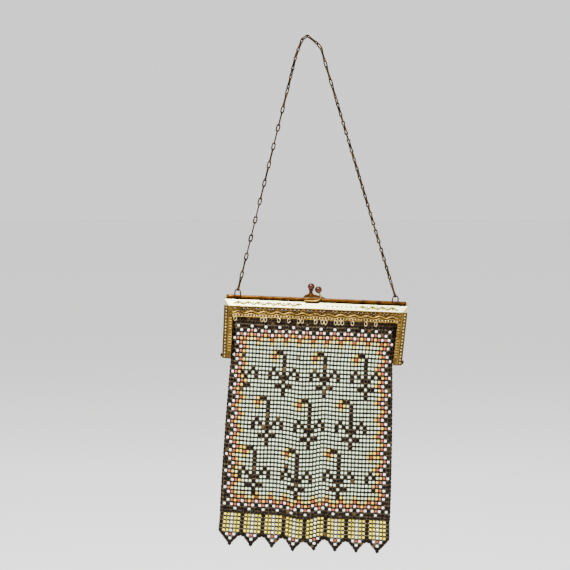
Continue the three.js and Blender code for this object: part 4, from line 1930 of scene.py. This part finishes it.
@dataclass
class Clasp:
    """The two knobs, the strap and the hump that carry them, with a painted shadow under the strap."""

    wires: Wires
    diameter: float = 5.6
    ball_diameter: float = 5.9
    rear_x: float = -4.7
    rear_z: float = 12.7
    front_x: float = 1.3
    front_z: float = 10.4
    strap: float = 0.75
    # shadow_share: the painted shadow wire's thickness as a share of the strap's
    shadow_share: float = 0.7
    clearance: float = 0.3
    hump: tuple[tuple[float, float], ...] = (
        (-1.1, 0),
        (2.2, 0),
        (1.75, 0.3),
        (1.15, 0.56),
        (0.5, 0.8),
        (-0.2, 0.9),
        (-0.7, 0.72),
        (-0.97, 0.34),
    )

    def ball(self, x: float, z: float, finish: bpy.types.Material) -> bpy.types.Object:
        """Turns one ball.

        Args:
            x: Its place across.
            z: Its height.
            finish: Its material.

        Returns:
            The ball.
        """
        radius = self.ball_diameter / 2
        turns = [math.pi * i / 14 for i in range(15)]
        profile = [(radius * math.sin(turn), z - radius * math.cos(turn)) for turn in turns]
        return lathe("ball", profile, lambda a, b, c: HUNG.place(x + a, b, c), 24, finish)

    def neck(self, finish: bpy.types.Material) -> bpy.types.Object:
        """Turns the rear knob's neck, with a collar under the ball."""
        top = self.rear_z - self.diameter * 0.36
        low = LEAF.rail_height + 2.4
        radius = self.diameter * 0.3
        profile = [
            (0, low),
            (radius * 1.7, low),
            (radius * 1.5, low + 0.6),
            (radius * 0.95, low + 1.4),
            (radius * 0.9, top - 1.3),
            (radius * 1.35, top - 1.0),
            (radius * 1.35, top - 0.5),
            (radius, top - 0.2),
            (0, top + 0.4),
        ]
        middle = LEAF.rail_middle_y * 0.6
        return lathe("neck", profile, lambda a, b, c: HUNG.place(self.rear_x + a, middle + b, c), 20, finish)

    def hump_solid(self, finish: bpy.types.Material) -> bpy.types.Object:
        """Builds the low hump on the rail, with rounded edges."""
        seat = LEAF.rail_height + self.clearance
        corners = [
            Vector((self.rear_x + a * self.diameter, 0, seat + u * LEAF.rail_height)) for a, u in self.hump
        ]
        outline = [corners[0], *rounded(corners[1:] + corners[:1], False, 2)[:-1]]
        half = LEAF.rail_depth / 2
        middle = LEAF.rail_middle_y
        count = len(outline)
        points = []
        centre = sum(outline, Vector()) / count
        for out, shrink in ((-half, 0.9), (-half * 0.7, 1.0), (half * 0.7, 1.0), (half, 0.9)):
            for p in outline:
                q = centre + (p - centre) * shrink
                points.append(HUNG.place(q.x, middle + out, q.z))
        faces = [tuple(reversed(range(count))), tuple(range(3 * count, 4 * count))]
        for layer in range(3):
            for i in range(count):
                a, b = layer * count + i, layer * count + (i + 1) % count
                faces.append((a, b, b + count, a + count))
        made = mesh_of("hump", points, faces=faces)
        made.data.polygons.foreach_set("use_smooth", [False, False] + [True] * (len(faces) - 2))
        made.data.materials.append(finish)
        return made

    def strap_line(self) -> list[Vector]:
        """The way of the strap: along the front leaf's top, then up to the ball."""
        y = -LEAF.top_flat / 2 - self.clearance
        base = self.clearance + self.strap
        rise = self.front_z - base
        way = (
            (self.front_x - 10.8, y, base),
            (self.front_x - 7, y, base),
            (self.front_x - 3.5, y, base),
            (self.front_x - 0.2, y, base + rise * 0.04),
            (self.front_x + 2.1, y, base + rise * 0.26),
            (self.front_x + 1.9, y * 0.6, base + rise * 0.55),
            (self.front_x, 0, self.front_z - self.diameter * 0.3),
        )
        return self.bent(way)

    def strap_edge(self) -> list[Vector]:
        """A dark wire just under the strap, as a painted shadow of the strap on the band."""
        y = -LEAF.top_flat - self.clearance
        way = (
            (self.front_x - 10.4, y, -0.55),
            (self.front_x - 2, y, -0.55),
            (self.front_x + 0.6, y, -0.2),
            (self.front_x + 2.2, y * 0.7, 1.2),
        )
        return self.bent(way)

    @staticmethod
    def bent(way: Sequence[tuple[float, float, float]]) -> list[Vector]:
        """Rounds a way's corners and hangs it."""
        return [HUNG.place(*p) for p in rounded([Vector(p) for p in way], False, 3)]

    def build(self, finishes: Mapping[str, bpy.types.Material]) -> None:
        """Args:
            finishes: The materials by name.
        """
        self.wires.add(self.strap_line())
        strap = self.wires.grow("strap", self.strap, 12, finishes["gilt_trim"])
        # A dark bronze wire under the strap: painted shadow of the strap on the band.
        self.wires.add(self.strap_edge())
        under = self.wires.grow("strap_edge", self.strap * self.shadow_share, 10, finishes["dark_bronze"])
        ball = self.ball(self.front_x, self.front_z, finishes["knob_brown"])
        ride(outward(joined("clasp_front", [ball, strap, under])), ("clasp_knob_front",))
        parts = [
            self.ball(self.rear_x, self.rear_z, finishes["knob_brown"]),
            self.neck(finishes["copper_brown"]),
            self.hump_solid(finishes["copper_brown"]),
        ]
        ride(outward(joined("clasp_rear", parts)), ("clasp_knob_rear",))


@dataclass
class RailAndPins:
    """The round rail on the rear leaf and the hinge pins in the feet."""

    pin: float = 2.0
    head: float = 3.4
    head_thick: float = 1.2
    clearance: float = 0.3

    def rail(self, finish: bpy.types.Material) -> bpy.types.Object:
        """Builds the rail's rounded skin.

        Args:
            finish: Its material.

        Returns:
            The rail.
        """
        half = LEAF.half - LEAF.rail_inset
        sides, steps = 20, 40
        low = -0.15
        tall = (LEAF.rail_height - low) / 2 + 0.14
        deep = LEAF.rail_depth / 2 + 0.14
        middle = (LEAF.rail_height + low) / 2
        rings = [(-half + 2 * half * i / steps, 1.0) for i in range(steps + 1)]
        rings = [(-half - 0.12, 0.8), *rings, (half + 0.12, 0.8)]
        points, faces = [], []
        for x, share in rings:
            for k in range(sides):
                turn = 2 * math.pi * k / sides
                y = LEAF.rail_middle_y + deep * share * math.sin(turn)
                points.append(HUNG.place(x, y, middle + tall * share * math.cos(turn)))
        for i in range(len(rings) - 1):
            for k in range(sides):
                a, b = i * sides + k, i * sides + (k + 1) % sides
                faces.append((a, b, b + sides, a + sides))
        faces += [tuple(reversed(range(sides))), tuple(range(len(points) - sides, len(points)))]
        made = mesh_of("top_rail", points, faces=faces)
        made.data.polygons.foreach_set("use_smooth", [True] * (len(faces) - 2) + [False, False])
        made.data.materials.append(finish)
        return outward(made)

    def pin_solid(self, side: int, finish: bpy.types.Material) -> bpy.types.Object:
        """Turns one hinge pin with a domed head.

        Args:
            side: -1 for the left pin, 1 for the right one.
            finish: Its material.

        Returns:
            The pin.
        """
        z = -LEAF.height + LEAF.foot / 2
        inner, outer = LEAF.inner_half + self.clearance, LEAF.half + self.clearance
        head, shaft = self.head / 2, self.pin / 2
        profile = [
            (0, inner),
            (shaft * 0.8, inner),
            (shaft, inner + 0.2),
            (shaft, outer),
            (head, outer),
            (head, outer + 0.35),
            (head * 0.86, outer + self.head_thick * 0.7),
            (head * 0.5, outer + self.head_thick * 0.95),
            (0, outer + self.head_thick),
        ]
        name = "hinge_left" if side < 0 else "hinge_right"
        made = lathe(name, profile, lambda a, b, c: LEAF.place(side * c, a, z + b), 20, finish)
        return outward(made)

    def build(self, finishes: Mapping[str, bpy.types.Material]) -> None:
        """Args:
            finishes: The materials by name.
        """
        ride(self.rail(finishes["copper_brown"]))
        ride(self.pin_solid(-1, finishes["dark_bronze"]), ("hinge_pin_left",))
        ride(self.pin_solid(1, finishes["dark_bronze"]), ("hinge_pin_right",))


# The chain


def through(points: Sequence[Vector], steps: int) -> list[Vector]:
    """A smooth line through points, with each stretch timed by the root of its length.

    Args:
        points: The points.
        steps: How many steps each stretch has.

    Returns:
        The line.
    """
    line = []
    padded = [2 * points[0] - points[1], *points, 2 * points[-1] - points[-2]]
    for i in range(1, len(padded) - 2):
        p = padded[i - 1 : i + 3]
        t = [0.0]
        for a, b in zip(p, p[1:]):
            t.append(t[-1] + max((b - a).length ** 0.5, 1e-6))
        for step in range(steps):
            at = t[1] + (t[2] - t[1]) * step / steps
            low = [p[k].lerp(p[k + 1], (at - t[k]) / (t[k + 1] - t[k])) for k in range(3)]
            mid = [low[k].lerp(low[k + 1], (at - t[k]) / (t[k + 2] - t[k])) for k in range(2)]
            line.append(mid[0].lerp(mid[1], (at - t[1]) / (t[2] - t[1])))
    return [*line, points[-1]]


@dataclass
class Chain:
    """The chain of long two-eyed links and short oval ones, and the rings that hold it to the rail."""

    wires: Wires
    wire: float = 0.84
    eye: float = 2.4
    waist: float = 1.15
    long_link: float = 11.15
    short_link: float = 5.45
    overlap: float = 0.18
    ring_turn: float = 50.0
    ring_wire: float = 1.0
    ring_height: float = 8.2
    ring_width: float = 6.4
    ring_seat: float = 0.4
    link_radius_share: float = 0.7
    ring_radius_share: float = 0.6
    clearance: float = 0.3
    twist: float = 180.0
    swing: float = 25.0
    top: tuple[tuple[float, float], ...] = (
        (-8.8, -15.7),
        (-3.6, -2.2),
        (0, 0.9),
        (4.6, -2),
        (11.6, -9.2),
        (14.8, -20.5),
    )

    @property
    def hold(self) -> float:
        """How far one link reaches past the middle of the next one's wire."""
        return self.wire - self.overlap

    @property
    def ring_spread(self) -> float:
        """How far each end ring is from the frame's middle."""
        return LEAF.half - LEAF.ring_inset

    @property
    def ring_middle(self) -> float:
        """The height of the end rings' middles."""
        return self.ring_seat - self.ring_wire / 2 - self.clearance / 3 + self.ring_height / 2

    def route(self) -> list[Vector]:
        """The chain's middle line, in hung millimetres."""
        reach = self.ring_middle + self.ring_height / 2
        reach -= (self.ring_wire + self.wire) / 2 + self.clearance / 3
        ends = [HUNG.place(side * self.ring_spread, LEAF.rail_middle_y, reach) / MM for side in (-1, 1)]
        over = through([Vector((x, 0, z)) for x, z in self.top], 40)
        return [ends[0], *over, ends[1]]

    def joints(self) -> list[Vector]:
        """The places where the links meet, spread so that they just span the route."""
        line = self.route()
        total = sum((b - a).length for a, b in zip(line, line[1:]))
        repeats = round(total / (self.long_link + self.short_link - 2 * self.hold))
        lengths = []
        for i in range(2 * repeats - 1):
            if i % 2:
                lengths.append(self.short_link - self.hold)
            else:
                at_end = i in (0, 2 * repeats - 2)
                lengths.append(self.long_link - (self.hold / 2 if at_end else self.hold))
        low, high = 0.8, 1.2
        for _ in range(40):
            middle = (low + high) / 2
            if self.walk(line, lengths, middle) is None:
                high = middle
            else:
                low = middle
        return self.walk(line, lengths, low) or []

    @staticmethod
    def walk(line: Sequence[Vector], lengths: Sequence[float], stretch: float) -> list[Vector] | None:
        """Steps along a line by straight lengths.

        Args:
            line: The line.
            lengths: The lengths.
            stretch: What each is multiplied by.

        Returns:
            The places stepped to, or None where the line is too short.
        """
        at, share = 0, 0.0
        places = [line[0]]
        for length in lengths:
            target = length * stretch
            last = places[-1]
            while (line[at + 1] - last).length < target:
                at += 1
                share = 0.0
                if at >= len(line) - 1:
                    return None
            a, b = line[at], line[at + 1]
            near, far = share, 1.0
            for _ in range(24):
                half = (near + far) / 2
                if (a.lerp(b, half) - last).length < target:
                    near = half
                else:
                    far = half
            share = far
            places.append(a.lerp(b, share))
        return places

    def long_outline(self, length: float) -> list[tuple[float, float]]:
        """The corners of a long link: an eye at each end and two wires close together between."""
        eye, waist = self.eye / 2, self.waist / 2
        side = [(0.0, eye * 0.5), (eye * 0.95, eye), (eye * 2.5, waist)]
        upper = side + [(length - a, w) for a, w in reversed(side)]
        return upper + [(a, -w) for a, w in reversed(upper)]

    @staticmethod
    def oval_outline(length: float, width: float, sides: int) -> list[tuple[float, float]]:
        """The corners of an oval link."""
        radius = width / 2
        straight = length / 2 - radius
        corners = []
        for i in range(sides):
            turn = 2 * math.pi * (i + 0.5) / sides
            reach = radius / math.cos(math.pi / sides)
            shift = math.copysign(straight, math.cos(turn))
            corners.append((length / 2 + shift + reach * math.cos(turn), reach * math.sin(turn)))
        return corners

    def links(self) -> None:
        """Adds every link's wire."""
        joints = self.joints()
        last = len(joints) - 2
        for i, (start, end) in enumerate(zip(joints, joints[1:])):
            along = (end - start).normalized()
            before = 0.0 if i == 0 else self.hold / 2
            after = 0.0 if i == last else self.hold / 2
            length = (end - start).length + before + after
            outline = self.oval_outline(length, self.eye, 8) if i % 2 else self.long_outline(length)
            share = i / last
            roll = self.ring_turn + 90 * i + self.twist * share + self.swing * math.sin(6 * math.pi * share)
            flat = Vector((0, 1, 0)).cross(along).normalized()
            across = Matrix.Rotation(math.radians(roll), 3, along) @ flat
            origin = start - along * before
            corners = [(origin + along * a + across * w) * MM for a, w in outline]
            self.wires.add(rounded(corners, True), closed=True)

    def end_ring(self, side: int) -> list[Vector]:
        """The middle line of one end ring."""
        turn = math.radians(side * self.ring_turn)
        across = Vector((math.sin(turn), math.cos(turn), 0))
        low = Vector((side * self.ring_spread, LEAF.rail_middle_y, self.ring_middle - self.ring_height / 2))
        corners = []
        for a, w in self.oval_outline(self.ring_height, self.ring_width, 10):
            corners.append(HUNG.place(*(low + Vector((0, 0, a)) + across * w)))
        return rounded(corners, True)

    def build(self, finishes: Mapping[str, bpy.types.Material]) -> None:
        """Args:
            finishes: The materials by name.
        """
        finish = finishes["chain_wire"]
        self.links()
        radius = self.wire * self.link_radius_share
        ride(self.wires.grow("chain_links", radius, 8, finish), ("handle_chain",))
        radius = self.ring_wire * self.ring_radius_share
        for side, word in ((-1, "left"), (1, "right")):
            self.wires.add(self.end_ring(side), closed=True)
            ring = self.wires.grow(f"end_ring_{word}", radius, 10, finish)
            ride(ring, (f"chain_ring_{word}",))


# The studio


@dataclass(frozen=True)
class Studio:
    """A pale floor, soft lights and the camera."""

    frame_width: float = 0.4646
    middle: tuple[float, float, float] = (-0.0175, 0.0, -0.2013)
    distance: float = 1.9
    elevation: float = math.radians(5)
    floor_z: float = -0.62
    floor_reach: float = 8.0
    world_strength: float = 1.2
    lights: tuple[tuple[str, float, float, float, float, float], ...] = (
        ("key", -20, 50, 1.6, 0.7, 76),
        ("fill", 40, 20, 2.0, 1.4, 16),
        ("rear", 180, 45, 1.8, 1.3, 18),
    )

    def camera(self) -> None:
        """Sets the camera straight in front of the purse, a little above it."""
        data = bpy.data.cameras.new("photo_view")
        data.sensor_fit = "HORIZONTAL"
        data.angle = 2 * math.atan(self.frame_width / 2 / self.distance)
        data.clip_end = 50
        camera = bpy.data.objects.new("photo_view", data)
        bpy.context.scene.collection.objects.link(camera)
        away = Vector((0, -math.cos(self.elevation), math.sin(self.elevation)))
        camera.location = Vector(self.middle) + away * self.distance
        camera.rotation_euler = (-away).to_track_quat("-Z", "Y").to_euler()
        bpy.context.scene.camera = camera

    def floor(self) -> None:
        """Lays the pale floor."""
        reach = self.floor_reach
        ways = ((-1, -1), (1, -1), (1, 1), (-1, 1))
        corners = [Vector((x * reach, y * reach, self.floor_z)) for x, y in ways]
        floor = mesh_of("floor", corners, faces=[(0, 1, 2, 3)])
        paint = Paint("floor_white")
        floor.data.materials.append(paint.finish(Base_Color=linear(246, 246, 245), Roughness=0.9))

    def light(self, name: str, azimuth: float, height: float, away: float, size: float, power: float) -> None:
        """Adds one soft light that looks at the purse.

        Args:
            name: Its name.
            azimuth: Its bearing, in degrees, 0 being the camera's side and 90 the right.
            height: Its angle above the purse, in degrees.
            away: Its distance in metres.
            size: Its width in metres.
            power: Its power in watts.
        """
        data = bpy.data.lights.new(name, "AREA")
        data.shape = "SQUARE"
        data.size = size
        data.energy = power
        lamp = bpy.data.objects.new(name, data)
        bpy.context.scene.collection.objects.link(lamp)
        a, h = math.radians(azimuth), math.radians(height)
        way = Vector((math.sin(a) * math.cos(h), -math.cos(a) * math.cos(h), math.sin(h)))
        lamp.location = Vector(self.middle) + way * away
        lamp.rotation_euler = (-way).to_track_quat("-Z", "Y").to_euler()

    def build(self) -> None:
        """Sets up the studio."""
        self.camera()
        self.floor()
        for light in self.lights:
            self.light(*light)
        world = bpy.data.worlds.new("studio")
        world.use_nodes = True
        inputs = world.node_tree.nodes["Background"].inputs
        inputs["Color"].default_value = (1, 1, 1, 1)
        inputs["Strength"].default_value = self.world_strength
        bpy.context.scene.world = world


def main() -> None:
    """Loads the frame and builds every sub-assembly in order."""
    logging.basicConfig(level=logging.INFO, format="%(message)s")
    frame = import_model()
    Studio().build()
    finishes = {gilding.name: gilding.paint() for gilding in FINISHES}
    leaf_finish = LeafGilding().paint()
    for name in ("frame_leaf_front", "frame_leaf_rear"):
        data = frame["nodes"][name].data
        data.materials.clear()
        data.materials.append(leaf_finish)
    wires, beads, copies = Wires(), Beads(), Copies()
    petal = petal_shape()
    for face in Face:
        LeafTrim(wires, beads, copies, face).build(petal, finishes)
    bpy.data.objects.remove(petal)
    RailAndPins().build(finishes)
    Clasp(wires).build(finishes)
    Chain(wires).build(finishes)
    Mesh(copies).build()


if __name__ == "__main__":
    main()
